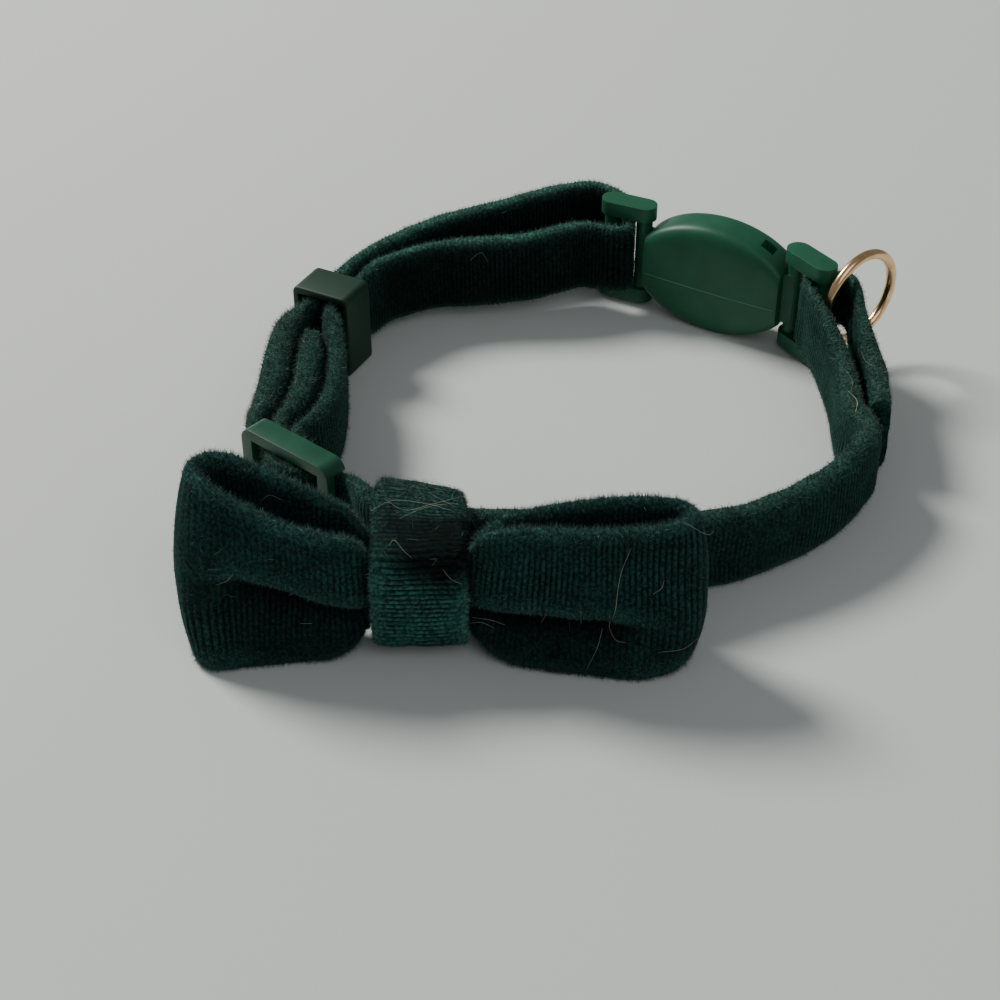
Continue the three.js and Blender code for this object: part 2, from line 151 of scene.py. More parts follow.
# Route of the strap: x, y, height of its middle, thickness, and width where it is gathered
STRAP_ROUTE = [
    # the sewn return outside the right-hand fold
    (45.5, 6.4, 5.0, 2.7),
    (45.8, 9.5, 5.0, 2.9),
    (46.0, 13.5, 5.3, 2.9),
    (45.7, 18.0, 6.2, 2.5),
    (45.3, 22.5, 7.8, 1.7, 9.4),
    (45.1, 26.4, 10.0, 1.3, 7.6),
    (44.4, 29.4, 9.85, 1.3, 7.7),
    (42.4, 31.3, 8.4, 1.3, 8.9),
    (40.1, 31.1, 7.9, 1.3),
    (39.1, 29.3, 7.9, 1.3),
    (39.5, 27.3, 7.9, 1.3),
    (39.9, 25.2, 7.8, 1.3),
    (41.0, 21.5, 7.0, 2.0),
    (41.9, 17.5, 6.0, 2.5),
    (42.3, 13.5, 5.3, 2.9),
    (42.2, 9.5, 5.0, 2.9),
    (42.3, 6.0, 5.0, 2.9),
    # the single strap round the front right corner
    (43.4, 2.0, 5.0, 3.2),
    (41.2, -2.6, 5.0, 3.3),
    (38.3, -6.3, 5.0, 3.3),
    (34.4, -9.7, 5.0, 3.3),
    (30.5, -12.3, 5.0, 3.3),
    (26.8, -14.2, 5.0, 3.3),
    (22.8, -15.7, 5.3, 3.3),
    (18.6, -17.2, 5.9, 3.2),
    (13.5, -18.8, 6.9, 3.0),
    (7.5, -19.6, 7.9, 2.8),
    (1.5, -19.4, 8.6, 2.8),
    (-3.8, -18.7, 8.3, 2.8),
    (-8.5, -17.9, 8.1, 2.7, 9.4),
    (-12.2, -16.5, 8.2, 2.7, 9.4),
    (-14.6, -14.2, 7.7, 2.5),
    # over the slider's centre bar and behind its two end bars
    on_slider(8.6, 0.8, 7.0, 1.9),
    on_slider(6.9, 1.0, 6.6, 1.4),
    on_slider(5.0, 0.9, 6.6, 1.3),
    on_slider(3.2, -0.7, 6.6, 1.3),
    on_slider(1.6, -1.85, 6.6, 1.3),
    on_slider(0.0, -2.15, 6.6, 1.3),
    on_slider(-1.6, -1.9, 6.6, 1.3),
    on_slider(-3.4, -0.65, 6.6, 1.3),
    on_slider(-5.2, 0.8, 6.6, 1.3),
    on_slider(-7.2, 1.2, 6.6, 1.5),
    # the outer layer up the left side, through the keeper and along the rear
    (-28.7, 2.0, 6.4, 2.2),
    (-28.0, 5.6, 6.3, 3.2),
    (-27.5, 10.0, 6.2, 3.7),
    (-27.35, 16.0, 6.2, 3.7),
    (-26.8, 22.3, 6.2, 3.2),
    (-25.4, 26.7, 5.9, 2.2, 9.2),
    (-22.8, 31.1, 5.9, 2.0, 9.2),
    (-20.9, 34.8, 6.0, 2.2, 9.3),
    (-18.0, 38.9, 6.3, 2.5),
    (-14.4, 42.4, 6.6, 2.9),
    (-10.2, 45.4, 6.9, 3.1),
    (-5.6, 47.9, 7.2, 3.2),
    (0.2, 50.4, 7.5, 3.2),
    (4.9, 52.6, 7.7, 3.1),
    (8.9, 54.2, 7.9, 3.0),
    (12.7, 54.7, 8.0, 2.6),
    (15.6, 53.2, 8.0, 2.0),
    (17.5, 50.8, 7.9, 1.5),
    (17.9, 48.6, 7.9, 1.3),
    # round the bar of the left buckle frame and back as the inner layer
    (17.4, 46.2, 7.9, 1.3),
    (17.35, 44.4, 7.9, 1.6),
    (17.1, 43.0, 7.9, 1.9),
    (15.4, 42.7, 7.9, 2.0),
    (13.3, 43.6, 7.8, 2.1),
    (10.9, 44.2, 7.7, 2.5),
    (8.0, 43.4, 7.4, 3.0),
    (4.2, 42.3, 7.1, 3.2),
    (0.0, 41.6, 6.9, 3.2),
    (-4.6, 41.3, 6.7, 3.1),
    (-9.3, 40.7, 6.5, 2.9),
    (-13.2, 39.0, 6.3, 2.5),
    (-16.3, 36.4, 6.2, 2.3),
    (-18.5, 33.3, 5.9, 2.1, 9.2),
    (-20.4, 29.9, 5.9, 2.0, 9.2),
    (-21.7, 26.4, 5.9, 2.1, 9.3),
    (-20.8, 22.2, 6.2, 2.2),
    (-20.1, 16.0, 6.2, 2.3),
    (-20.0, 10.0, 6.2, 2.3),
    (-20.4, 6.0, 6.3, 2.3),
    (-21.7, 2.2, 6.4, 2.1),
    # the end folded round the centre bar and sewn back between the two layers
    on_slider(-3.2, 3.4, 6.6, 1.4),
    on_slider(-0.4, 2.45, 6.6, 1.2),
    on_slider(1.2, 2.1, 6.6, 1.2),
    on_slider(1.8, 1.0, 6.6, 1.2),
    on_slider(1.1, 0.0, 6.6, 1.2),
    on_slider(-0.4, -0.4, 6.6, 1.2),
    on_slider(-2.0, 0.4, 6.6, 1.2),
    on_slider(-4.6, 2.5, 6.6, 1.3),
    (-25.6, 1.4, 6.4, 2.0),
    (-24.4, 4.6, 6.3, 2.8),
    (-23.6, 8.5, 6.2, 3.5),
    (-23.4, 14.0, 6.2, 3.6),
    (-23.4, 20.0, 6.2, 2.9),
]

# Bow: wall middle x and y, lower and upper edge, lean of the top, depth of the pleat, height of its lip,
# and how far the end bulges
BOW_ROWS = [
    # rear of the knot and of the left wing
    (-8.5, -23.2, 3.9, 12.7, 0, 0, 8),
    (-13.7, -23.1, 3.7, 12.8, 0, 0, 8),
    (-16.2, -23.1, 1.6, 17.0, 0.3, 0, 8),
    (-19.5, -23.0, 0.7, 18.6, 1.4, 0, 8),
    (-24.0, -22.8, 0.2, 20.2, 3.6, 0, 8),
    (-28.2, -22.3, 0, 21.1, 5.8, 0, 8, 0.3),
    # left end, leaning back
    (-30.7, -22.5, 0.2, 21.0, 6.8, 0, 9, 0.9),
    (-31.9, -24.2, 0.4, 20.9, 7.3, 0, 10, 1.9),
    (-30.6, -25.9, 0.2, 20.5, 6.6, 0.3, 11.6, 1.1),
    # front of the left wing
    (-27.2, -26.5, 0, 19.0, 4.2, 1.2, 11.6, 0.4),
    (-22.5, -27.0, 0, 17.3, 2.2, 2.0, 10.1),
    (-18.2, -27.2, 0.2, 16.4, 1.0, 2.1, 8.5),
    (-15.9, -26.8, 1.3, 16.0, 0.4, 1.7, 7.7),
    (-14.7, -26.2, 3.0, 14.9, 0, 1.0, 7.3),
    (-13.9, -25.7, 3.8, 12.7, 0, 0.6, 7.2),
    (-8.5, -25.4, 3.9, 12.7, 0, 0.2, 7.0),
    # front of the right wing
    (-3.1, -25.7, 3.8, 12.7, 0, 0.6, 6.8),
    (-2.2, -26.5, 2.6, 16.0, 0.2, 1.4, 7.6),
    (-0.6, -27.3, 1.2, 17.2, 0.7, 2.3, 8.0),
    (1.6, -27.9, 0.4, 17.6, 1.2, 2.8, 8.2),
    (5.5, -28.5, 0.1, 17.9, 1.6, 2.9, 8.3),
    (10.5, -29.1, 0, 18.0, 2.3, 2.1, 8.2),
    (14.6, -29.1, 0, 18.0, 3.0, 0.5, 7.8, 0.3),
    # right end and the rear of the right wing
    (18.3, -28.0, 0.3, 17.9, 3.3, 0, 7.4, 1.0),
    (19.7, -26.2, 0.8, 17.8, 3.0, 0, 7, 1.6),
    (18.7, -24.3, 0.4, 17.8, 2.2, 0, 7, 0.8),
    (15.6, -23.4, 0, 18.0, 1.2, 0, 7),
    (10.5, -23.3, 0.2, 18.0, 0.6, 0, 7),
    (5.0, -23.4, 0.5, 17.3, 0.2, 0, 7),
    (0.5, -23.4, 1.2, 16.2, 0, 0, 7),
    (-3.3, -23.2, 3.7, 12.8, 0, 0, 8),
]

# Knot band: wall middle y and z, width, turn of the section with the strap behind it
KNOT_ROWS = [
    (-28.3, 4.8, 10.2, 0),
    (-28.4, 8.0, 10.2, 0),
    (-28.1, 11.2, 10.2, 0),
    (-27.0, 13.5, 10.3, 0),
    (-24.0, 14.2, 10.4, 0),
    (-20.6, 14.25, 10.4, -0.12),
    (-17.4, 14.25, 10.0, -0.24),
    (-15.2, 13.3, 9.0, -0.28),
    (-14.8, 10.8, 8.6, -0.3),
    (-14.8, 6.6, 8.6, -0.3),
    (-14.9, 2.8, 8.6, -0.28),
    (-17.4, 2.0, 9.6, -0.15),
    (-21.5, 2.0, 10.2, 0),
    (-25.2, 2.0, 10.2, 0),
    (-27.6, 2.6, 10.2, 0),
]
KNOT_X = -8.5

UP = np.array([0.0, 0.0, 1.0])


# Curves and noise


def to_frame(points):
    """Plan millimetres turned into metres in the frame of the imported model."""
    return (np.asarray(points, dtype=float) - np.array([*PLAN_CENTRE, 0.0])) * MM


def unit(vectors):
    length = np.linalg.norm(vectors, axis=-1, keepdims=True)
    return vectors / np.maximum(length, 1e-9)


def smooth_curve(points, closed, per_span):
    """Centripetal curve through the points, and the row number that each place on it belongs to."""
    if closed:
        ring = np.vstack([points[-1:], points, points[:2]])
    else:
        first = 2 * points[:1] - points[1:2]
        last = 2 * points[-1:] - points[-2:-1]
        ring = np.vstack([first, points, last])
    p0, p1, p2, p3 = ring[:-3], ring[1:-2], ring[2:-1], ring[3:]
    pairs = ((p0, p1), (p1, p2), (p2, p3))
    d0, d1, d2 = (np.linalg.norm(b - a, axis=1)[:, None] ** 0.5 for a, b in pairs)
    ta = ((p1 - p0) / d0 - (p2 - p0) / (d0 + d1) + (p2 - p1) / d1) * d1
    tb = ((p2 - p1) / d1 - (p3 - p1) / (d1 + d2) + (p3 - p2) / d2) * d1
    f = np.linspace(0, 1, per_span, endpoint=False)[None, :, None]
    a, b, ta, tb = (v[:, None, :] for v in (p1, p2, ta, tb))
    curve = a + ta * f + (3 * (b - a) - 2 * ta - tb) * f**2 + (2 * (a - b) + ta + tb) * f**3
    rows = np.arange(len(p1))[:, None] + f[:, :, 0]
    end = points[:1] if closed else points[-1:]
    return np.vstack([curve.reshape(-1, points.shape[1]), end]), np.append(rows.ravel(), len(p1))


def stations(rows, place_columns, closed):
    """Stations at even steps, four to a rib: places, directions, and the other columns blended."""
    table = np.asarray(rows, dtype=float)
    points = table[:, :place_columns]
    curve, row_numbers = smooth_curve(points, closed, 40)
    lengths = np.append(0, np.cumsum(np.linalg.norm(np.diff(curve, axis=0), axis=1)))
    ribs = int(round(lengths[-1] / RIB_PITCH))
    count = ribs * STATIONS_PER_RIB
    at = lengths[-1] * np.arange(count if closed else count + 1) / count
    places = np.stack([np.interp(at, lengths, column) for column in curve.T], axis=1)
    if closed:
        run = np.roll(places, -1, axis=0) - np.roll(places, 1, axis=0)
        table = np.vstack([table, table[:1]])
    else:
        run = np.gradient(places, axis=0)
    numbers = np.interp(at, lengths, row_numbers)
    known = np.arange(len(table))
    columns = [np.interp(numbers, known, column) for column in table[:, place_columns:].T]
    return places, unit(run), columns, lengths[-1]


def soft_noise(u, v, seed):
    """Smooth noise from -1 to 1 over two coordinates, with a cell of one unit."""
    lattice = np.random.default_rng(seed).uniform(-1, 1, (64, 64))
    iu = np.floor(u).astype(int)
    iv = np.floor(v).astype(int)
    fu = u - iu
    fv = v - iv
    fu = fu * fu * (3 - 2 * fu)
    fv = fv * fv * (3 - 2 * fv)
    low = lattice[iu % 64, iv % 64] * (1 - fu) + lattice[(iu + 1) % 64, iv % 64] * fu
    high = lattice[iu % 64, (iv + 1) % 64] * (1 - fu) + lattice[(iu + 1) % 64, (iv + 1) % 64] * fu
    return low * (1 - fv) + high * fv


def closed_noise(count, sections, cell, seed):
    """Smooth noise over a grid of stations and sections that joins up where a closed band does."""
    turn = np.arange(count)[:, None] / count * 2 * math.pi
    reach = count * cell / (2 * math.pi)
    v = sections[None, :]
    first = soft_noise(reach * np.cos(turn) + v, reach * np.sin(turn) + 0.6 * v, seed)
    second = soft_noise(reach * np.sin(turn) - 0.7 * v, reach * np.cos(turn) + v, seed + 1)
    return 0.7 * (first + second)


# Meshes


def add_piece(name, points, faces):
    """A mesh object in metres that rides on the collar's one body."""
    mesh = bpy.data.meshes.new(name)
    mesh.from_pydata([tuple(p) for p in points], [], faces)
    mesh.polygons.foreach_set("use_smooth", [True] * len(mesh.polygons))
    mesh.update()
    piece = bpy.data.objects.new(name, mesh)
    bpy.context.scene.collection.objects.link(piece)
    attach(piece, "root")
    return piece


def grid_faces(along, around, closed):
    """Quads over a grid that closes on itself round the section, and along it too if closed."""
    i = np.arange(along if closed else along - 1)[:, None]
    k = np.arange(around)[None, :]
    j = (i + 1) % along
    n = (k + 1) % around
    quads = np.stack([i * around + k, i * around + n, j * around + n, j * around + k], axis=-1)
    faces = quads.reshape(-1, 4).tolist()
    if not closed:
        last = (along - 1) * around
        faces.append(list(range(around - 1, -1, -1)))
        faces.append([last + k for k in range(around)])
    return faces


def add_values(piece, name, values):
    """A named number at each point, which a material can read."""
    attribute = piece.data.attributes.new(name, "FLOAT", "POINT")
    attribute.data.foreach_set("value", np.asarray(values, dtype=np.float32).ravel())


def change_mesh(mesh, change):
    """Makes a change to a mesh in its editable form."""
    shape = bmesh.new()
    shape.from_mesh(mesh)
    change(shape)
    shape.to_mesh(mesh)
    shape.free()


def facing_out(piece):
    """Turns every face outward."""
    change_mesh(piece.data, lambda shape: bmesh.ops.recalc_face_normals(shape, faces=shape.faces))


# Ribbed velvet


# Height over one rib from groove to groove, and the mean of it as a share of the whole height
RIB_PROFILE = np.array([-1.0, 0.35, 0.75, 0.35])
RIB_MEAN = 0.64


def share_past(value, start, over):
    """How far a value is past a start: from 0 there to 1 where it is past by the whole of over."""
    return np.clip((value - start) / over, 0, 1)


def share_before(value, start, over):
    """How far a value is short of a start: from 0 there to 1 where it is short by the whole of over."""
    return np.clip((start - value) / over, 0, 1)


def rib_relief(ribs, clear, rough):
    """Height of the ribbed pile over the smooth cloth, in millimetres."""
    return RIB_DEPTH * (1.75 * ribs - 1.0) * clear * (0.85 + 0.3 * rough)


def clearness(count, sections, seed):
    """How clearly the ribs show: 1 where they stand up, and less where the pile hides them."""
    return np.clip(0.62 + 0.8 * closed_noise(count, sections * 0.7, 0.03, seed), 0.2, 1.0)


def rib_values(count):
    """Height of the rib at each station, from the groove at 0 to the top at 1."""
    profile = RIB_PROFILE[np.arange(count) % STATIONS_PER_RIB]
    return (profile - RIB_PROFILE.min()) / (RIB_PROFILE.max() - RIB_PROFILE.min())


def tube_section(thick, width, around):
    """Outline of a soft flat tube, evenly spaced: offsets across and up, and the outward direction."""
    turn = np.linspace(0, 2 * math.pi, 721)
    n = 0.5 * thick * np.sign(np.cos(turn)) * np.abs(np.cos(turn)) ** FACE_SQUARENESS
    w = 0.5 * width * np.sign(np.sin(turn)) * np.abs(np.sin(turn)) ** EDGE_SQUARENESS
    lengths = np.append(0, np.cumsum(np.hypot(np.diff(n), np.diff(w))))
    at = lengths[-1] * np.arange(around) / around
    n = np.interp(at, lengths, n)
    w = np.interp(at, lengths, w)
    run_n = np.roll(n, -1) - np.roll(n, 1)
    run_w = np.roll(w, -1) - np.roll(w, 1)
    size = np.hypot(run_n, run_w)
    return n, w, run_w / size, -run_n / size


def velvet_tube(name, path, thick, width, closed, crease, seed):
    """A flat velvet tube with ribs across it: soft edges, a crease along it and a slight unevenness."""
    places, run, across, upward = path
    count = len(places)
    around = TUBE_SIDES
    n, w, out_n, out_w = tube_section(1.0, TUBE_FLATNESS, around)
    w = w / TUBE_FLATNESS
    ribs = rib_values(count)[:, None]
    sections = np.arange(around) * 0.45
    rough = closed_noise(count, sections, 0.05, seed)
    drift = closed_noise(count, w * 2.0 + 4.0, 0.02, seed + 2)
    clear = clearness(count, sections, seed + 5)
    face = np.clip(1 - np.abs(w) / CREASE_REACH, 0, 1)[None, :] ** 0.5
    groove = np.exp(-(((w[None, :] + CREASE_DRIFT * drift) / CREASE_HALF_WIDTH) ** 2)) * face
    height = rib_relief(ribs, clear, rough)
    height = height - crease * groove * np.clip(0.55 + 0.9 * rough, 0, 1) + TUBE_UNEVENNESS * rough
    wander = TUBE_WANDER * drift
    side = n[None, :] * thick[:, None] + out_n[None, :] * height
    rise = w[None, :] * width[:, None] + out_w[None, :] * height
    points = places[:, None, :] + side[..., None] * across[:, None, :]
    points = points + rise[..., None] * upward[:, None, :] + wander[..., None] * run[:, None, :]
    piece = add_piece(name, to_frame(points).reshape(-1, 3), grid_faces(count, around, closed))
    # the rib value paints shade into the grooves, and the edge value lightens the edges, partly as rubbed
    # wear and partly as painted sheen
    edge = share_past(np.abs(w), 0.34, 0.16)
    add_values(piece, "rib", RIB_MEAN + (ribs - RIB_MEAN) * clear)
    add_values(piece, "edge", np.repeat(edge[None, :], count, axis=0))
    facing_out(piece)
    return piece


def make_strap():
    """The strap standing on its edge, all in one route round the neck opening."""
    rows = [row if len(row) == 5 else (*row, STRAP_WIDTH) for row in STRAP_ROUTE]
    places, run, (thick, width), length = stations(rows, 3, False)
    across = unit(np.cross(UP, run))
    upward = np.repeat(UP[None, :], len(places), axis=0)
    path = (places, run, across, upward)
    name = "velvet_strap_cloth"
    strap = velvet_tube(name, path, thick, width, False, STRAP_CREASE_DEPTH, 11)
    x, y = places[:, 0:1], places[:, 1:2]
    # painted shade and painted light on the strap's rear
    add_values(strap, "shade", strap_shade(x, y, across[:, 1:2]))
    add_values(strap, "fluff", np.repeat(strap_fluff(x, y), TUBE_SIDES, axis=1))
    return strap, length


def strap_shade(x, y, across_y):
    """Painted shade on the rear's faces toward the neck, and painted light on its upper and lower edges."""
    n, _, _, _ = tube_section(2.0, TUBE_FLATNESS, TUBE_SIDES)
    rear = share_past(y, 33, 5) * share_past(x, -24, 6) * share_before(x, 30, 5)
    upper = np.clip(1 - 1.6 * np.abs(n), 0, 1)[None, :]
    toward_neck = np.clip(-1.6 * (n[None, :] * across_y), 0, 1)
    return (1 - 0.6 * rear * toward_neck) * (1 + rear * upper)


def strap_fluff(x, y):
    """Length of the strap's pile: longer in the slider, at the left buckle frame and up the left side."""
    at_slider = np.exp(-(((x + 23.4) / 4.5) ** 2) - (((y + 5.5) / 4.5) ** 2))
    at_buckle = np.exp(-(((x - 17.8) / 1.6) ** 2) - (((y - 44.5) / 3.2) ** 2))
    at_left = share_before(x, -18, 1.5) * share_before(y, 30, 6)
    return 1 + 0.7 * at_slider + 0.6 * at_buckle + 0.35 * at_left


def make_knot():
    """The short band that holds the bow's middle to the strap."""
    rows = [(KNOT_X, *row) for row in KNOT_ROWS]
    places, run, (width, turn), length = stations(rows, 3, True)
    sideways = unit(np.stack([np.ones(len(turn)), turn, np.zeros(len(turn))], axis=1))
    outward = unit(np.cross(sideways, run))
    thick = np.full(len(places), KNOT_WALL)
    path = (places, run, outward, sideways)
    knot = velvet_tube("knot_band_cloth", path, thick, width, True, 0.0, 23)
    y, z = places[:, 1:2], places[:, 2:3]
    _, w, _, _ = tube_section(1.0, 1.0, TUBE_SIDES)
    drift = closed_noise(len(places), np.arange(TUBE_SIDES) * 0.5, 0.06, 29)
    # painted shade over the upper front, lower down on the right, where the pile is also shorter, and a
    # milder painted shade behind, where the pile is longer
    level = 10.4 - 2.6 * w[None, :] + 0.9 * drift
    ahead = -20.0 - y + 0.8 * drift
    pressed_and_painted_shade = share_past(z, level, 3.0) * np.clip(ahead / 2.2, 0, 1)
    behind = share_past(y, -23.0, 2.5)
    add_values(knot, "shade", (1.0 - 0.9 * pressed_and_painted_shade) * (1.0 - 0.5 * behind * (z > 6.0)))
    add_values(knot, "fluff", 1.0 + 0.4 * behind - 0.3 * pressed_and_painted_shade)
    return knot, length


def pleat_outline(low, top, fold, lip, belly):
    """The bow's wall from its lower to its upper edge, softly bent: distance outward, and height."""
    marks = [low, (low + lip) / 2 - 0.8, lip - 1.3, lip, lip + 1.9, (lip + 1.9 + top) / 2, top]
    shares = [0, 0.2, -1, 0.35, 0.4, 0.1, 0]
    height = np.linspace(low, top, 61)
    share = np.interp(height, marks, shares)
    kernel = np.array([1, 2, 3, 2, 1]) / 9
    share = np.convolve(np.pad(share, 2, mode="edge"), kernel, mode="valid")
    part = (height - low) / (top - low)
    return share * fold + belly * 4 * part * (1 - part), height, share


def bow_wall_section(low, top, fold, lip, belly):
    """Outline of the wall up its outer face, over the edge, down the inner one and under."""
    out, height, share = pleat_outline(low, top, fold, lip, belly)
    lengths = np.append(0, np.cumsum(np.hypot(np.diff(out), np.diff(height))))
    along = lengths / lengths[-1]
    face = np.linspace(0.03, 0.97, 22)
    over = [(0.99, 0.72), (1.0, 0.28), (1.0, -0.28), (0.99, -0.72)]
    under = [(0.01, -0.72), (0.0, -0.28), (0.0, 0.28), (0.01, 0.72)]
    outline = [(f, 1.0) for f in face] + over + [(f, -1.0) for f in face[::-1]] + under
    at = np.array([f for f, _ in outline])
    side = np.array([s for _, s in outline])
    run_out = np.interp(at, along, np.gradient(out, lengths))
    run_up = np.interp(at, along, np.gradient(height, lengths))
    size = np.hypot(run_out, run_up)
    values = [np.interp(at, along, v) for v in (out, height, share)]
    return (*values, run_up / size, -run_out / size, side, at)


def make_bow():
    """The bow: one ribbon folded into a closed band, pleated across the front of both wings."""
    rows = [row if len(row) == 8 else (*row, 0.0) for row in BOW_ROWS]
    places, run, columns, length = stations(rows, 2, True)
    low, top, lean, fold, lip, belly = columns
    count = len(places)
    outward = np.stack([run[:, 1], -run[:, 0]], axis=1)
    sections = [bow_wall_section(low[i], top[i], fold[i], lip[i], belly[i]) for i in range(count)]
    out, height, share, out_part, up_part, side, at = (np.array(v) for v in zip(*sections))
    around = out.shape[1]
    ribs = rib_values(count)[:, None]
    rough = closed_noise(count, at[0] * 5.0, 0.05, 31)
    drift = closed_noise(count, at[0] * 2.4, 0.02, 37)
    wave = closed_noise(count, at[0] * 3.0, 0.035, 41)
    clear = clearness(count, at[0] * 6.0, 43)
    relief = rib_relief(ribs, clear, rough) * np.abs(side)
    reach = side * (BOW_WALL / 2) + np.sign(side) * relief
    distance = out + out_part * reach + BOW_UNEVENNESS * wave
    level = height + up_part * reach
    tilt = lean[:, None] * ((height - low[:, None]) / (top - low)[:, None] - 0.5)
    x = places[:, :1] + outward[:, :1] * distance + run[:, :1] * BOW_WANDER * drift
    y = places[:, 1:] + outward[:, 1:] * distance + run[:, 1:] * BOW_WANDER * drift + tilt
    points = np.stack([x, y, np.maximum(level, 0.05)], axis=-1)
    faces = grid_faces(count, around, True)
    piece = add_piece("bow_ribbon_cloth", to_frame(points).reshape(-1, 3), faces)
    fold = fold[:, None]
    lip = lip[:, None]
    front = side > 0
    edge = share_past(np.abs(at - 0.5), 0.42, 0.08)
    # painted shade in the pleat's recess, under its lip and on the inner faces, and painted light along the
    # front's lower rim and on the lip
    recess = np.clip(-share * fold / 1.6, 0, 1) * front
    under = share_past(lip - 0.6, height, 1.2) * np.clip(fold / 1.5, 0, 1)
    rim = np.clip(1 - height / 3.2, 0, 1) * front
    on_lip = np.exp(-(((height - lip - 0.2) / 1.1) ** 2)) * np.clip(fold, 0, 1) * front
    shade = (1 - 0.85 * recess) * (1 - 0.45 * under * front) * np.where(front, 1.0, 0.7)
    add_values(piece, "rib", RIB_MEAN + (ribs - RIB_MEAN) * clear)
    # the edges, partly rubbed and partly painted sheen, with the painted light of the rim and the lip
    add_values(piece, "edge", np.clip(edge + 0.9 * rim + 0.5 * on_lip, 0, 1))
    add_values(piece, "shade", shade)
    add_values(piece, "fluff", 1 + 0.3 * edge)
    facing_out(piece)
    return piece, length


# Moulded plastic


def solid_from(points, faces):
    """A loose closed mesh in plan millimetres, for joining and cutting."""
    mesh = bpy.data.meshes.new("loose")
    mesh.from_pydata([tuple(p) for p in points], [], faces)
    mesh.update()
    solid = bpy.data.objects.new("loose", mesh)
    bpy.context.scene.collection.objects.link(solid)
    facing_out(solid)
    return solid


def put_on(piece, points):
    """Points with X along, Y inward and Z up, placed on a straight piece."""
    points = np.asarray(points, dtype=float)
    ax, ay = piece["along"]
    mx, my = piece["middle"]
    x = mx + points[:, 0] * ax - points[:, 1] * ay
    y = my + points[:, 0] * ay + points[:, 1] * ax
    return np.stack([x, y, points[:, 2]], axis=1)


def box_on(piece, low, high):
    x0, y0, z0 = low
    x1, y1, z1 = high
    corners = [(x, y, z) for z in (z0, z1) for y in (y0, y1) for x in (x0, x1)]
    faces = [(0, 1, 3, 2), (4, 6, 7, 5), (0, 4, 5, 1), (2, 3, 7, 6), (0, 2, 6, 4), (1, 5, 7, 3)]
    return solid_from(put_on(piece, corners), faces)


def prism_on(piece, outline, low, high, place):
    """A straight body over an outline, where place turns (u, v, depth) into along, inward and up."""
    count = len(outline)
    points = [place(u, v, low) for u, v in outline] + [place(u, v, high) for u, v in outline]
    faces = [list(range(count)), list(range(2 * count - 1, count - 1, -1))]
    faces += [[k, (k + 1) % count, count + (k + 1) % count, count + k] for k in range(count)]
    return solid_from(put_on(piece, points), faces)


def rounded_outline(length, height, radius):
    """Corner points of a rounded rectangle that stands on its lower side."""
    x = length / 2 - radius
    corners = [(x, radius, -90), (x, height - radius, 0), (-x, height - radius, 90), (-x, radius, 180)]
    outline = []
    for cx, cz, start in corners:
        for k in range(9):
            angle = math.radians(start + 90 * k / 8)
            outline.append((cx + radius * math.cos(angle), cz + radius * math.sin(angle)))
    return outline


def combine(solid, other, operation):
    """Joins or cuts one loose solid with another, which is then gone."""
    change = solid.modifiers.new("change", "BOOLEAN")
    change.operation = operation
    change.solver = "EXACT"
    change.object = other
    apply_modifiers(solid)
    bpy.data.objects.remove(other)
    return solid


def apply_modifiers(piece):
    graph = bpy.context.evaluated_depsgraph_get()
    mesh = bpy.data.meshes.new_from_object(piece.evaluated_get(graph))
    piece.modifiers.clear()
    piece.data = mesh


def cleaned(shape):
    """Merges doubled points and dissolves flat seams that joining and cutting leave."""
    bmesh.ops.remove_doubles(shape, verts=shape.verts, dist=0.002)
    flat = math.radians(0.6)
    bmesh.ops.dissolve_limit(shape, angle_limit=flat, verts=shape.verts, edges=shape.edges)


def split_large_faces(shape):
    bmesh.ops.triangulate(shape, faces=[f for f in shape.faces if len(f.verts) > 4])


def crisp_corners(shape):
    """Keeps the sharper edges crisp under smooth shading."""
    for edge in shape.edges:
        if len(edge.link_faces) == 2:
            edge.smooth = edge.calc_face_angle(0) < CRISP_ANGLE


def finish_plastic(solid, name, rounding):
    """Rounds the edges of a loose solid, as moulded plastic has them, and puts it in its place."""
    change_mesh(solid.data, cleaned)
    edge = solid.modifiers.new("edge", "BEVEL")
    edge.width = rounding
    edge.segments = 3
    edge.limit_method = "ANGLE"
    edge.angle_limit = ROUNDED_ANGLE
    edge.use_clamp_overlap = True
    apply_modifiers(solid)
    change_mesh(solid.data, split_large_faces)
    faces = [list(f.vertices) for f in solid.data.polygons]
    points = to_frame([tuple(v.co) for v in solid.data.vertices])
    bpy.data.objects.remove(solid)
    piece = add_piece(name, points, faces)
    facing_out(piece)
    change_mesh(piece.data, crisp_corners)
    return piece


def make_slider():
    """The adjuster: a frame with a window, two low end bars and a centre bar."""
    s = SLIDER
    low = (s["height"] - s["window_height"]) / 2
    high = s["height"] - low
    half = s["window_length"] / 2
    face = s["thickness"] / 2
    bar = s["centre_bar_length"] / 2
    front, rear = s["centre_bar_faces"]
    outline = rounded_outline(s["length"], s["height"], s["corner"])
    solid = prism_on(s, outline, -face, face, lambda u, v, d: (u, d, v))
    combine(solid, box_on(s, (-half, -face - 1, low), (half, face + 1, high)), "DIFFERENCE")
    path = box_on(s, (-s["length"], s["end_bar_inner_face"], low), (s["length"], face + 1, high))
    combine(solid, path, "DIFFERENCE")
    combine(solid, box_on(s, (-bar, front, low - 0.4), (bar, rear, high + 0.4)), "UNION")
    return finish_plastic(solid, "slider_body", EDGE_ROUNDING["slider"])


def make_keeper():
    """The loop that holds the strap's two layers together."""
    k = KEEPER
    low = (k["height"] - k["window_height"]) / 2
    half = k["window_across"] / 2
    outline = rounded_outline(k["across"], k["height"], k["corner"])
    deep = k["length"] / 2
    solid = prism_on(k, outline, -deep, deep, lambda u, v, d: (d, u, v))
    window = box_on(k, (-k["length"], -half, low), (k["length"], half, k["height"] - low))
    combine(solid, window, "DIFFERENCE")
    return finish_plastic(solid, "keeper_body", EDGE_ROUNDING["keeper"])


def level(u, v, depth):
    """A place on a prism that stands upright."""
    return (u, v, depth)


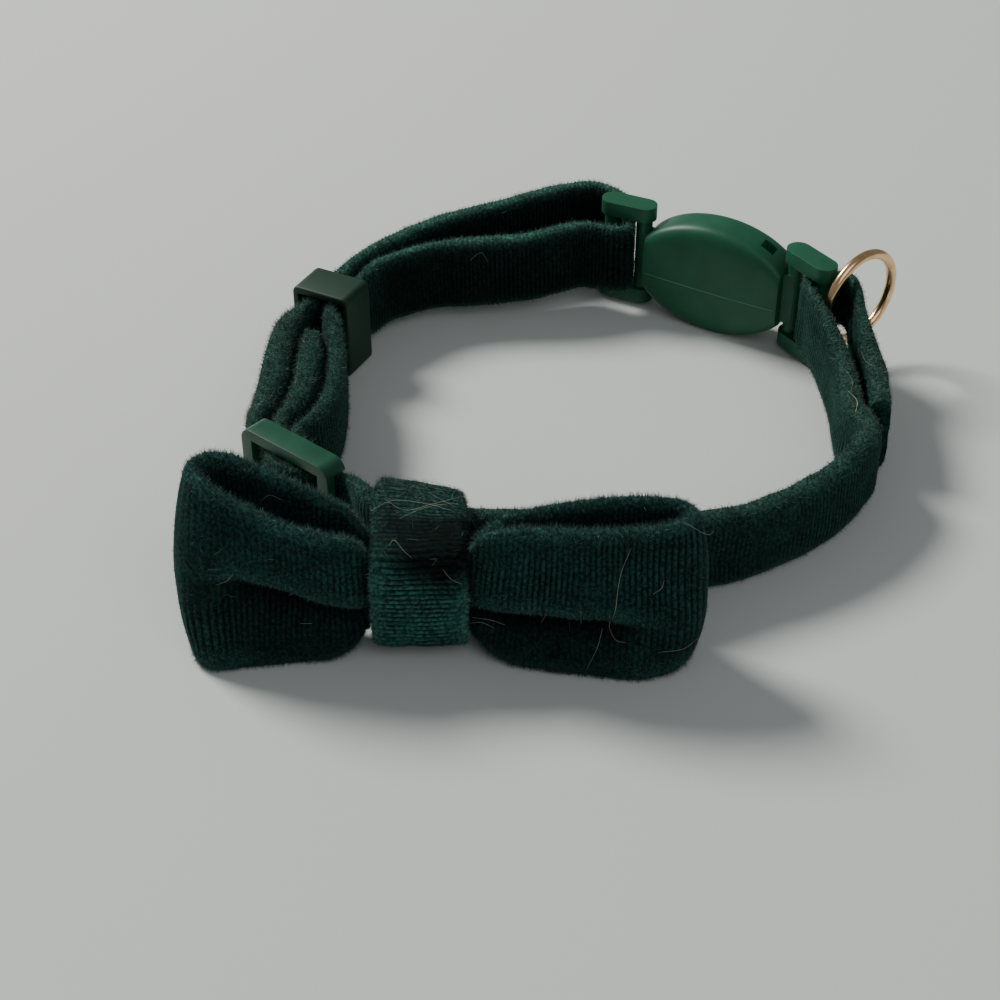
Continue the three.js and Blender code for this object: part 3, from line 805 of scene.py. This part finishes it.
def strap_frame(place):
    """A strap frame of the buckle: neck bar, round far bar, and flat arms above and below."""
    f = FRAME_SIZES
    neck = place["neck"]
    bar = place["bar"]
    length = math.hypot(bar[0] - neck[0], bar[1] - neck[1])
    piece = {"middle": neck, "along": ((bar[0] - neck[0]) / length, (bar[1] - neck[1]) / length)}
    low = f["middle_height"] - f["window_height"] / 2 - f["arm_thickness"]
    high = f["middle_height"] + f["window_height"] / 2 + f["arm_thickness"]
    wide = f["arm_half_width"]
    outline = []
    for centre, start in ((length, -90), (0.0, 90)):
        for k in range(13):
            angle = math.radians(start + 15 * k)
            outline.append((centre + wide * math.cos(angle), wide * math.sin(angle)))
    solid = prism_on(piece, outline, high - f["arm_thickness"], high, level)
    combine(solid, prism_on(piece, outline, low, low + f["arm_thickness"], level), "UNION")
    for centre in (0.0, length):
        post = []
        for k in range(24):
            angle = math.radians(15 * k + 7.5)
            post.append((centre + f["bar_radius"] * math.cos(angle), f["bar_radius"] * math.sin(angle)))
        combine(solid, prism_on(piece, post, low + 0.3, high - 0.3, level), "UNION")
    return solid


def shell_size(s):
    """Height of the shell as a share of its largest, and half its thickness, at a place along it."""
    fullness = math.sqrt(1 - (s / BUCKLE["outline_half_length"]) ** 2)
    return fullness, BUCKLE["shell_thickness"] / 2 * (0.8 + 0.2 * fullness)


def squared(value):
    return math.copysign(abs(value) ** SHELL_SQUARENESS, value)


def shell_body():
    """The oval shell: soft sections that follow an ellipse cut off at both ends."""
    b = BUCKLE
    count = 40
    around = 64
    middle = b["shell_height"] / 2
    points = []
    for i in range(count + 1):
        s = (i / count - 0.5) * b["shell_length"]
        fullness, half_thick = shell_size(s)
        for k in range(around):
            angle = k / around * 2 * math.pi
            across = half_thick * squared(math.cos(angle))
            points.append((s, across, middle + middle * fullness * squared(math.sin(angle))))
    return solid_from(put_on(b, points), grid_faces(count + 1, around, False))


def make_parting_line():
    """The fine raised line that the mould leaves along the shell's inner face, lit by a painted highlight:
    a lighter copy of the green plastic.
    """
    b = BUCKLE
    points = []
    steps = 48
    for i in range(steps + 1):
        s = (i / steps - 0.5) * (b["shell_length"] - 0.6)
        _, face = shell_size(s)
        for n, z in ((face + 0.045, 6.55), (face + 0.045, 6.65), (face - 0.2, 6.7), (face - 0.2, 6.5)):
            points.append((s, -n, z))
    faces = grid_faces(steps + 1, 4, False)
    line = add_piece("buckle_parting_line", to_frame(put_on(b, points)), faces)
    facing_out(line)
    return line


def make_buckle_shell():
    """The female half: shell, mouth, small side window, neck and the right strap frame."""
    b = BUCKLE
    end = b["shell_length"] / 2
    middle = b["shell_height"] / 2
    tall = b["mouth_height"] / 2
    wide = b["mouth_thickness"] / 2
    solid = shell_body()
    mouth = box_on(b, (-end - 1, -wide, middle - tall), (-end + b["mouth_depth"], wide, middle + tall))
    combine(solid, mouth, "DIFFERENCE")
    window = box_on(b, (6.0, -0.9, middle + 3.4), (7.8, 0.9, b["shell_height"]))
    combine(solid, window, "DIFFERENCE")
    neck = box_on(b, (end - 1.0, -1.3, middle - 3.6), (end + 1.6, 1.3, middle + 3.6))
    combine(solid, neck, "UNION")
    combine(solid, strap_frame(RIGHT_FRAME), "UNION")
    return finish_plastic(solid, "buckle_female_body", EDGE_ROUNDING["buckle"])


def make_buckle_prongs():
    """The male half: the left strap frame and the prongs inside the shell."""
    b = BUCKLE
    end = b["shell_length"] / 2
    middle = b["shell_height"] / 2
    half = b["tongue_height"] / 2
    thick = b["tongue_thickness"] / 2
    tip = -end + b["mouth_depth"] - b["clearance"]
    solid = box_on(b, (-end - 1.6, -thick, middle - half), (tip, thick, middle + half))
    slit = box_on(b, (-end + 4, -thick - 1, middle - 1.1), (tip + 1, thick + 1, middle + 1.1))
    combine(solid, slit, "DIFFERENCE")
    combine(solid, strap_frame(LEFT_FRAME), "UNION")
    return finish_plastic(solid, "buckle_male_body", EDGE_ROUNDING["buckle"])


def make_ring():
    """The round wire tag ring in the strap's fold."""
    r = RING
    ox, oy = r["outward"]
    cx = r["eye"][0] + r["radius"] * ox
    cy = r["eye"][1] + r["radius"] * oy
    points = []
    along = 96
    around = 20
    for i in range(along):
        big = 2 * math.pi * i / along
        for k in range(around):
            small = 2 * math.pi * k / around
            reach = r["radius"] + r["wire_radius"] * math.cos(small)
            flat = reach * math.cos(big)
            side = r["wire_radius"] * math.sin(small)
            rise = r["middle_height"] + reach * math.sin(big)
            points.append((cx + flat * ox - side * oy, cy + flat * oy + side * ox, rise))
    ring = add_piece("tag_ring_wire", to_frame(points), grid_faces(along, around, True))
    facing_out(ring)
    return ring


# Materials

# Noises that tint the materials: cells to a metre, and the values where the dark and the light end
NOISES = {
    "cloud": (260.0, 0.3, 0.7),
    "speck": (2600.0, 0.4, 0.62),
    "mottle": (300.0, 0.3, 0.7),
    "plating": (900.0, 0.3, 0.7),
}
GRAIN_SCALE = 3500.0


def new_material(name):
    material = bpy.data.materials.new(name)
    material.use_nodes = True
    tree = material.node_tree
    tree.nodes.clear()
    output = tree.nodes.new("ShaderNodeOutputMaterial")
    shader = tree.nodes.new("ShaderNodeBsdfPrincipled")
    tree.links.new(shader.outputs["BSDF"], output.inputs["Surface"])
    return material, tree, shader


def read_value(tree, name):
    node = tree.nodes.new("ShaderNodeAttribute")
    node.attribute_name = name
    return node.outputs["Fac"]


def noise_value(tree, scale):
    """Noise over the piece's own coordinates, with so many cells to a metre."""
    coordinates = tree.nodes.new("ShaderNodeTexCoord")
    noise = tree.nodes.new("ShaderNodeTexNoise")
    noise.inputs["Scale"].default_value = scale
    noise.inputs["Detail"].default_value = 3.0
    tree.links.new(coordinates.outputs["Object"], noise.inputs["Vector"])
    return noise.outputs["Fac"]


def ramp(tree, source, stops):
    """A colour that follows a value through a few stops."""
    node = tree.nodes.new("ShaderNodeValToRGB")
    ends = node.color_ramp.elements
    while len(ends) < len(stops):
        ends.new(0.5)
    for element, (place, colour) in zip(ends, stops):
        element.position = place
        element.color = (*colour, 1)
    tree.links.new(source, node.inputs["Fac"])
    return node.outputs["Color"]


def noise_tone(tree, kind, dark, light):
    """A colour that drifts from dark to light with one of the noises."""
    scale, low, high = NOISES[kind]
    return ramp(tree, noise_value(tree, scale), [(low, dark), (high, light)])


def mix_colours(tree, share, first, second, kind="MIX"):
    node = tree.nodes.new("ShaderNodeMix")
    node.data_type = "RGBA"
    node.blend_type = kind
    for value, name in ((share, "Factor"), (first, "A"), (second, "B")):
        socket = node.inputs[name]
        if isinstance(value, bpy.types.NodeSocket):
            tree.links.new(value, socket)
        elif isinstance(value, tuple):
            socket.default_value = (*value, 1)
        else:
            socket.default_value = value
    return node.outputs["Result"]


def velvet(name, groove, top, edge, sheen):
    """Ribbed velvet: painted shade in the grooves, lighter on the ribs, and lightest on the edges, partly
    rubbed and partly painted sheen.
    """
    material, tree, shader = new_material(name)
    rib = ramp(tree, read_value(tree, "rib"), [(0.25, groove), (1.0, top)])
    # the edges' colour: partly rubbed wear and partly painted sheen, and on the bow also its painted light
    # on the lower rim and the lip
    worn_and_painted_light = mix_colours(tree, read_value(tree, "edge"), rib, edge)
    cloud = noise_tone(tree, "cloud", (0.7, 0.7, 0.7), (1.25, 1.25, 1.25))
    speck = noise_tone(tree, "speck", (0.5, 0.5, 0.5), (1.6, 1.6, 1.6))
    colour = mix_colours(tree, 1.0, worn_and_painted_light, cloud, "MULTIPLY")
    colour = mix_colours(tree, 1.0, colour, speck, "MULTIPLY")
    # times the painted light and shade that each point carries
    colour = mix_colours(tree, 1.0, colour, read_value(tree, "shade"), "MULTIPLY")
    tree.links.new(colour, shader.inputs["Base Color"])
    shader.inputs["Roughness"].default_value = 0.9
    shader.inputs["Specular IOR Level"].default_value = 0.10
    shader.inputs["Sheen Weight"].default_value = sheen
    shader.inputs["Sheen Roughness"].default_value = 0.45
    shader.inputs["Sheen Tint"].default_value = (0.30, 0.80, 0.60, 1)
    return material


def plastic(name, dark, light, roughness):
    """Satin green moulded plastic with a faint mottle."""
    material, tree, shader = new_material(name)
    tone = noise_tone(tree, "mottle", dark, light)
    tree.links.new(tone, shader.inputs["Base Color"])
    shader.inputs["Roughness"].default_value = roughness
    shader.inputs["Specular IOR Level"].default_value = 0.34
    grain = tree.nodes.new("ShaderNodeBump")
    grain.inputs["Strength"].default_value = 0.10
    grain.inputs["Distance"].default_value = 0.00004
    tree.links.new(noise_value(tree, GRAIN_SCALE), grain.inputs["Height"])
    tree.links.new(grain.outputs["Normal"], shader.inputs["Normal"])
    return material


def copper(name):
    """Bright copper-coloured plating."""
    material, tree, shader = new_material(name)
    tone = noise_tone(tree, "plating", (0.76, 0.47, 0.24), (0.92, 0.63, 0.35))
    tree.links.new(tone, shader.inputs["Base Color"])
    shader.inputs["Metallic"].default_value = 1.0
    shader.inputs["Roughness"].default_value = 0.2
    return material


def plain(name, colour, roughness):
    material, tree, shader = new_material(name)
    shader.inputs["Base Color"].default_value = (*colour, 1)
    shader.inputs["Roughness"].default_value = roughness
    return material


def dress(piece, material):
    piece.data.materials.clear()
    piece.data.materials.append(material)


# Pile, hairs and lint


def mesh_arrays(piece):
    """Corner numbers of a piece's triangles, and its points."""
    mesh = piece.data
    mesh.calc_loop_triangles()
    corners = np.empty(len(mesh.loop_triangles) * 3, dtype=np.int64)
    mesh.loop_triangles.foreach_get("vertices", corners)
    points = np.empty(len(mesh.vertices) * 3)
    mesh.vertices.foreach_get("co", points)
    return corners.reshape(-1, 3), points.reshape(-1, 3)


def values_at(piece, name, corners):
    """Mean of a named value over each triangle."""
    values = np.empty(len(piece.data.vertices), dtype=np.float32)
    piece.data.attributes[name].data.foreach_get("value", values)
    return values[corners].mean(axis=1)


def surface_samples(piece, count, rng, weigh):
    """Random places on a piece's faces, with the outward direction there and the triangle's number."""
    corners, points = mesh_arrays(piece)
    a, b, c = (points[corners[:, k]] for k in range(3))
    normal = np.cross(b - a, c - a)
    weight = np.linalg.norm(normal, axis=1) * weigh((a + b + c) / 3, unit(normal), corners)
    chosen = rng.choice(len(corners), size=count, p=weight / weight.sum())
    u = rng.random((count, 1))
    v = rng.random((count, 1))
    flip = (u + v) > 1
    u = np.where(flip, 1 - u, u)
    v = np.where(flip, 1 - v, v)
    places = a[chosen] * (1 - u - v) + b[chosen] * u + c[chosen] * v
    return places, unit(normal[chosen]), corners[chosen]


def add_pile(piece, name, count, length, seed):
    """Short fibres that stand off the cloth, one thin triangle each, longer and lighter on its edges,
    partly as painted sheen, and with the cloth's painted light and shade.
    """
    rng = np.random.default_rng(seed)
    places, out, corners = surface_samples(
        piece, count, rng, lambda middle, normal, triangles: 0.5 + 1.9 * values_at(piece, "edge", triangles)
    )
    edge = values_at(piece, "edge", corners)
    lean = unit(out + rng.normal(0, 0.5, out.shape) + np.array([0.0, 0.0, 0.25]))
    side = unit(np.cross(lean, rng.normal(0, 1, out.shape)))
    fluff = values_at(piece, "fluff", corners)
    reach = length * MM * rng.uniform(0.3, 1.0, (count, 1)) ** 1.4 * ((0.8 + 0.7 * edge) * fluff)[:, None]
    foot = places - out * 0.05 * MM
    tips = foot + lean * reach
    half = side * rng.uniform(0.02, 0.035, (count, 1)) * MM
    points = np.stack([foot - half, foot + half, tips], axis=1).reshape(-1, 3)
    points[:, 2] = np.maximum(points[:, 2], 0.00002)
    mesh = bpy.data.meshes.new(name)
    mesh.vertices.add(len(points))
    mesh.vertices.foreach_set("co", points.ravel())
    mesh.loops.add(len(points))
    mesh.loops.foreach_set("vertex_index", np.arange(len(points), dtype=np.int32))
    mesh.polygons.add(count)
    mesh.polygons.foreach_set("loop_start", np.arange(0, len(points), 3, dtype=np.int32))
    mesh.update(calc_edges=True)
    pile = bpy.data.objects.new(name, mesh)
    bpy.context.scene.collection.objects.link(pile)
    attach(pile, "root")
    # lighter on the edges, partly as painted sheen, and the painted light and shade of the cloth beneath
    tone = np.clip(rng.random(count) ** 4.0 + 0.22 * edge, 0, 1)
    add_values(pile, "tone", np.repeat(tone, 3))
    add_values(pile, "shade", np.repeat(values_at(piece, "shade", corners), 3))
    return pile


def fibre(name, dark, light, sheen):
    """Fibres of the pile, each with its own tone, times the painted light and shade of the cloth under
    them.
    """
    material, tree, shader = new_material(name)
    tone = ramp(tree, read_value(tree, "tone"), [(0.0, dark), (1.0, light)])
    tone = mix_colours(tree, 1.0, tone, read_value(tree, "shade"), "MULTIPLY")
    tree.links.new(tone, shader.inputs["Base Color"])
    shader.inputs["Roughness"].default_value = 0.65
    shader.inputs["Specular IOR Level"].default_value = 0.3
    shader.inputs["Sheen Weight"].default_value = sheen
    shader.inputs["Sheen Tint"].default_value = (0.40, 0.85, 0.68, 1)
    return material


def add_threads(name, paths, radii):
    """Thin three-sided threads along paths of equal length, pointed at both ends."""
    paths = np.asarray(paths, dtype=float)
    count, steps, _ = paths.shape
    run = unit(np.gradient(paths, axis=1))
    first = unit(np.cross(run, np.array([0.31, 0.47, 0.83])))
    second = np.cross(run, first)
    taper = np.sin(np.linspace(0.12, math.pi - 0.12, steps)) ** 0.4
    radius = np.asarray(radii)[:, None, None] * taper[None, :, None]
    rings = []
    for k in range(3):
        angle = 2 * math.pi * k / 3
        rings.append(paths + radius * (first * math.cos(angle) + second * math.sin(angle)))
    points = np.stack(rings, axis=2).reshape(-1, 3)
    points[:, 2] = np.maximum(points[:, 2], 0.02)
    i = np.arange(steps - 1)[:, None]
    k = np.arange(3)[None, :]
    n = (k + 1) % 3
    quads = np.stack([i * 3 + k, i * 3 + n, i * 3 + 3 + n, i * 3 + 3 + k], axis=-1).reshape(-1, 4)
    starts = np.arange(count)[:, None, None] * steps * 3
    faces = (quads[None] + starts).reshape(-1, 4).tolist()
    return add_piece(name, points * MM, faces)


# Shortest and longest fibre of lint, and thinnest and thickest, in millimetres
LINT_LENGTH = (0.3, 1.5)
LINT_RADIUS = (0.006, 0.012)


def lint_weight(middle, normal, corners):
    """Where lint gathers: on the upper edges, most at the left, at the right-hand fold and by the knot."""
    x = middle[:, 0] / MM + PLAN_CENTRE[0]
    y = middle[:, 1] / MM + PLAN_CENTRE[1]
    upward = share_past(normal[:, 2], 0.25, 0.5)
    left = share_before(x, -22.5, 1.5) * share_before(y, 30, 6)
    right = share_past(x, 38, 3) * share_past(y, -2, 6)
    knot = np.exp(-(((x + 6.5) / 6.5) ** 2) - (((y + 16.8) / 2.6) ** 2))
    return upward * (0.10 + 1.0 * left + 1.1 * right + 2.2 * knot)


def make_lint(cloths):
    """Short curled fibres of lint caught in the pile."""
    rng = np.random.default_rng(71)
    paths = []
    for cloth, count in cloths:
        places, out, _ = surface_samples(cloth, count, rng, lint_weight)
        reach = rng.uniform(*LINT_LENGTH, (count, 1))
        side = unit(np.cross(out, rng.normal(0, 1, out.shape)))
        curl = unit(rng.normal(0, 1, out.shape)) * 0.35
        steps = np.linspace(-0.5, 0.5, 7)[None, :, None]
        base = places[:, None, :] / MM + out[:, None, :] * 0.25
        bend = curl[:, None, :] * np.sin(steps * 5.2) * reach[:, None, :] * 0.6
        lift = out[:, None, :] * (np.abs(steps) * 0.5 * rng.uniform(-0.2, 1.0, (count, 1, 1)))
        paths.append(base + side[:, None, :] * steps * reach[:, None, :] + bend + lift)
    paths = np.concatenate(paths)
    return add_threads("lint", paths, rng.uniform(*LINT_RADIUS, len(paths)))


# Loose hairs: marks along each on a picture of a thousand units a side, and the radius in millimetres
HAIRS = [
    ([(629, 547), (621, 574), (615, 609), (611, 628), (617, 640), (626, 642)], 0.0216),
    ([(604, 628), (598, 647), (587, 669)], 0.0187),
    ([(549, 612), (541, 623)], 0.0216),
    ([(581, 610), (582, 624)], 0.0230),
    ([(663, 579), (659, 588), (652, 593)], 0.0187),
    ([(697, 636), (683, 647), (658, 651)], 0.0173),
    ([(473, 617), (490, 620), (505, 625)], 0.0324),
    ([(470, 622), (482, 622), (494, 628)], 0.0252),
    ([(667, 517), (683, 524), (702, 533), (713, 530)], 0.0173),
    ([(443, 569), (451, 580), (461, 584)], 0.0230),
    ([(389, 548), (394, 541), (404, 552), (412, 558)], 0.0158),
    ([(217, 584), (226, 579), (233, 573)], 0.0158),
    ([(300, 623), (312, 623)], 0.0158),
    ([(372, 512), (392, 503), (420, 505), (448, 512), (474, 520)], 0.0158),
    ([(385, 500), (405, 512), (430, 507), (462, 498)], 0.0144),
    ([(400, 520), (425, 510), (452, 506), (480, 510)], 0.0144),
    ([(430, 495), (450, 505), (470, 517), (478, 530)], 0.0144),
    ([(262, 500), (270, 494), (284, 499)], 0.0144),
    ([(745, 505), (762, 500), (775, 492)], 0.0144),
    ([(352, 318), (358, 326), (352, 334)], 0.0158),
    ([(470, 260), (482, 252), (488, 262)], 0.0158),
    ([(268, 400), (276, 412), (290, 418)], 0.0158),
    ([(848, 392), (856, 402), (856, 414)], 0.0396),
    ([(846, 372), (852, 384), (850, 396)], 0.0158),
    ([(862, 350), (868, 362), (876, 368)], 0.0158),
]


def on_cloth(trees, eye, mark):
    """The place on the cloth that a mark of the picture falls on, in plan millimetres."""
    spread = math.tan(CAMERA_FIELD / 2) / 500
    x = (mark[0] - 500) * spread
    z = (500 - mark[1]) * spread
    sine = math.sin(CAMERA_PITCH)
    cosine = math.cos(CAMERA_PITCH)
    ray = Vector((x, cosine + z * sine, z * cosine - sine)).normalized()
    hits = []
    for tree in trees:
        place, normal, _, far = tree.ray_cast(eye, ray)
        if place is not None:
            hits.append((far, place + normal * 0.28 * MM))
    return min(hits, key=lambda hit: hit[0])[1] if hits else None


def surface_tree(mesh):
    return BVHTree.FromPolygons([v.co for v in mesh.vertices], [p.vertices for p in mesh.polygons])


def make_hairs(cloths):
    """A few long loose hairs that lie on the bow, the knot and the strap."""
    trees = [surface_tree(cloth.data) for cloth in cloths]
    eye = bpy.context.scene.camera.location
    paths = []
    radii = []
    for marks, radius in HAIRS:
        places = [on_cloth(trees, eye, mark) for mark in marks]
        places = np.array([tuple(p / MM) for p in places if p is not None])
        if len(places) < 2:
            continue
        curve, _ = smooth_curve(places, False, 24)
        at = np.linspace(0, len(curve) - 1, 33)
        known = np.arange(len(curve))
        paths.append(np.stack([np.interp(at, known, column) for column in curve.T], axis=1))
        radii.append(radius)
    return add_threads("loose_hairs", paths, radii)


# Stage, light and camera


def make_floor():
    bpy.ops.mesh.primitive_plane_add(size=6, location=(0, 0, 0))
    floor = bpy.context.object
    floor.name = "floor"
    dress(floor, plain("pale_floor", (0.60, 0.625, 0.60), 0.9))


# Lights: place and size in metres, power in watts, and colour
LIGHTS = {
    "key": ((-0.62, 0.50, 0.70), 0.34, 14.5, (1.0, 0.99, 0.96)),
    "fill": ((0.35, -0.75, 0.8), 0.9, 2.6, (0.93, 0.97, 1.0)),
}
ROOM_COLOUR = (0.93, 0.97, 1.0)
ROOM_STRENGTH = 0.21


def make_lights():
    """Soft daylight from the upper left and behind, with a weak fill and an even room."""
    for name, (place, size, power, colour) in LIGHTS.items():
        data = bpy.data.lights.new(name, "AREA")
        data.shape = "DISK"
        data.size = size
        data.energy = power
        data.color = colour
        light = bpy.data.objects.new(name, data)
        bpy.context.scene.collection.objects.link(light)
        light.location = place
        light.rotation_euler = (-Vector(place)).to_track_quat("-Z", "Y").to_euler()
    world = bpy.data.worlds.new("soft_room")
    world.use_nodes = True
    world.node_tree.nodes["Background"].inputs["Color"].default_value = (*ROOM_COLOUR, 1)
    world.node_tree.nodes["Background"].inputs["Strength"].default_value = ROOM_STRENGTH
    bpy.context.scene.world = world


def make_camera():
    data = bpy.data.cameras.new("camera")
    data.sensor_fit = "HORIZONTAL"
    data.sensor_width = 36.0
    data.angle = CAMERA_FIELD
    data.clip_start = 0.01
    camera = bpy.data.objects.new("camera", data)
    bpy.context.scene.collection.objects.link(camera)
    away = CAMERA_DISTANCE * math.cos(CAMERA_PITCH)
    camera.location = to_frame([0.0, -away, CAMERA_DISTANCE * math.sin(CAMERA_PITCH)])
    camera.rotation_euler = (math.pi / 2 - CAMERA_PITCH, 0, 0)
    bpy.context.scene.camera = camera


# The whole collar

# Velvet: colour in the grooves, darkened as painted shade, on the ribs, and on the edges, partly rubbed and
# partly painted sheen, and weight of the sheen; the knot's lighter colours are painted sheen in place of a
# sheen weight
VELVETS = {
    "strap": ((0.001, 0.008, 0.0065), (0.008, 0.032, 0.026), (0.016, 0.052, 0.040), 0.10),
    "bow": ((0.001, 0.007, 0.0065), (0.009, 0.038, 0.033), (0.020, 0.068, 0.058), 0.06),
    "knot": ((0.003, 0.019, 0.015), (0.024, 0.092, 0.076), (0.030, 0.100, 0.082), 0.0),
}

# Pile: number of fibres, their length in millimetres, seed, and number of lint fibres caught in it
PILES = {
    "strap": (160000, 0.55, 51, 1300),
    "bow": (120000, 0.50, 52, 24),
    "knot": (30000, 0.42, 53, 320),
}

# Fibres of the pile: darkest and lightest colour, and weight of the sheen; the knot's lighter colours are
# painted sheen in place of a sheen weight
FIBRES = {
    "strap": ((0.003, 0.014, 0.012), (0.09, 0.19, 0.15), 0.1),
    "bow": ((0.002, 0.011, 0.010), (0.11, 0.24, 0.20), 0.06),
    "knot": ((0.005, 0.026, 0.021), (0.16, 0.36, 0.29), 0.0),
}

# Moulded plastic: darkest and lightest colour, and roughness
PLASTICS = {
    "buckle_plastic": ((0.0065, 0.072, 0.034), (0.010, 0.092, 0.046), 0.46),
    "slider_plastic": ((0.008, 0.058, 0.031), (0.013, 0.076, 0.042), 0.32),
    "keeper_plastic": ((0.004, 0.026, 0.013), (0.006, 0.034, 0.017), 0.55),
    # the parting line's lighter copy of the green plastic, a painted highlight
    "painted_highlight_plastic": ((0.05, 0.19, 0.11), (0.07, 0.22, 0.13), 0.4),
}


def add_nap(cloth, short):
    """Dresses a piece of velvet and gives it its pile."""
    dress(cloth, velvet(short + "_velvet", *VELVETS[short]))
    count, length, seed, _ = PILES[short]
    pile = add_pile(cloth, short + "_pile", count, length, seed)
    dress(pile, fibre(short + "_fibre", *FIBRES[short]))
    return pile


def add_plastics():
    """The moulded pieces, each over its solid, and the shell's parting line."""
    plastics = {name: plastic(name, *values) for name, values in PLASTICS.items()}
    moulded = (
        (make_slider(), "slider_plastic", "slider"),
        (make_keeper(), "keeper_plastic", "keeper"),
        (make_buckle_shell(), "buckle_plastic", "buckle_female"),
        (make_buckle_prongs(), "buckle_plastic", "buckle_male"),
    )
    for piece, name, solid in moulded:
        dress(piece, plastics[name])
        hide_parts(solid)
    dress(make_parting_line(), plastics["painted_highlight_plastic"])


def build():
    make_camera()
    make_floor()
    make_lights()
    strap, strap_length = make_strap()
    bow, bow_length = make_bow()
    knot, knot_length = make_knot()
    strap_pile = add_nap(strap, "strap")
    bow_pile = add_nap(bow, "bow")
    knot_pile = add_nap(knot, "knot")
    lint = make_lint([(strap, PILES["strap"][3]), (knot, PILES["knot"][3]), (bow, PILES["bow"][3])])
    dress(lint, plain("lint_fibre", (0.19, 0.26, 0.21), 0.8))
    hairs = make_hairs([strap, bow, knot])
    dress(hairs, plain("pale_hair", (0.42, 0.40, 0.31), 0.5))
    add_plastics()
    ring = make_ring()
    dress(ring, copper("copper_wire"))
    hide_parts("tag_ring")
    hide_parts("velvet_strap")
    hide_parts("bow_ribbon")
    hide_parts("knot_band")


build()
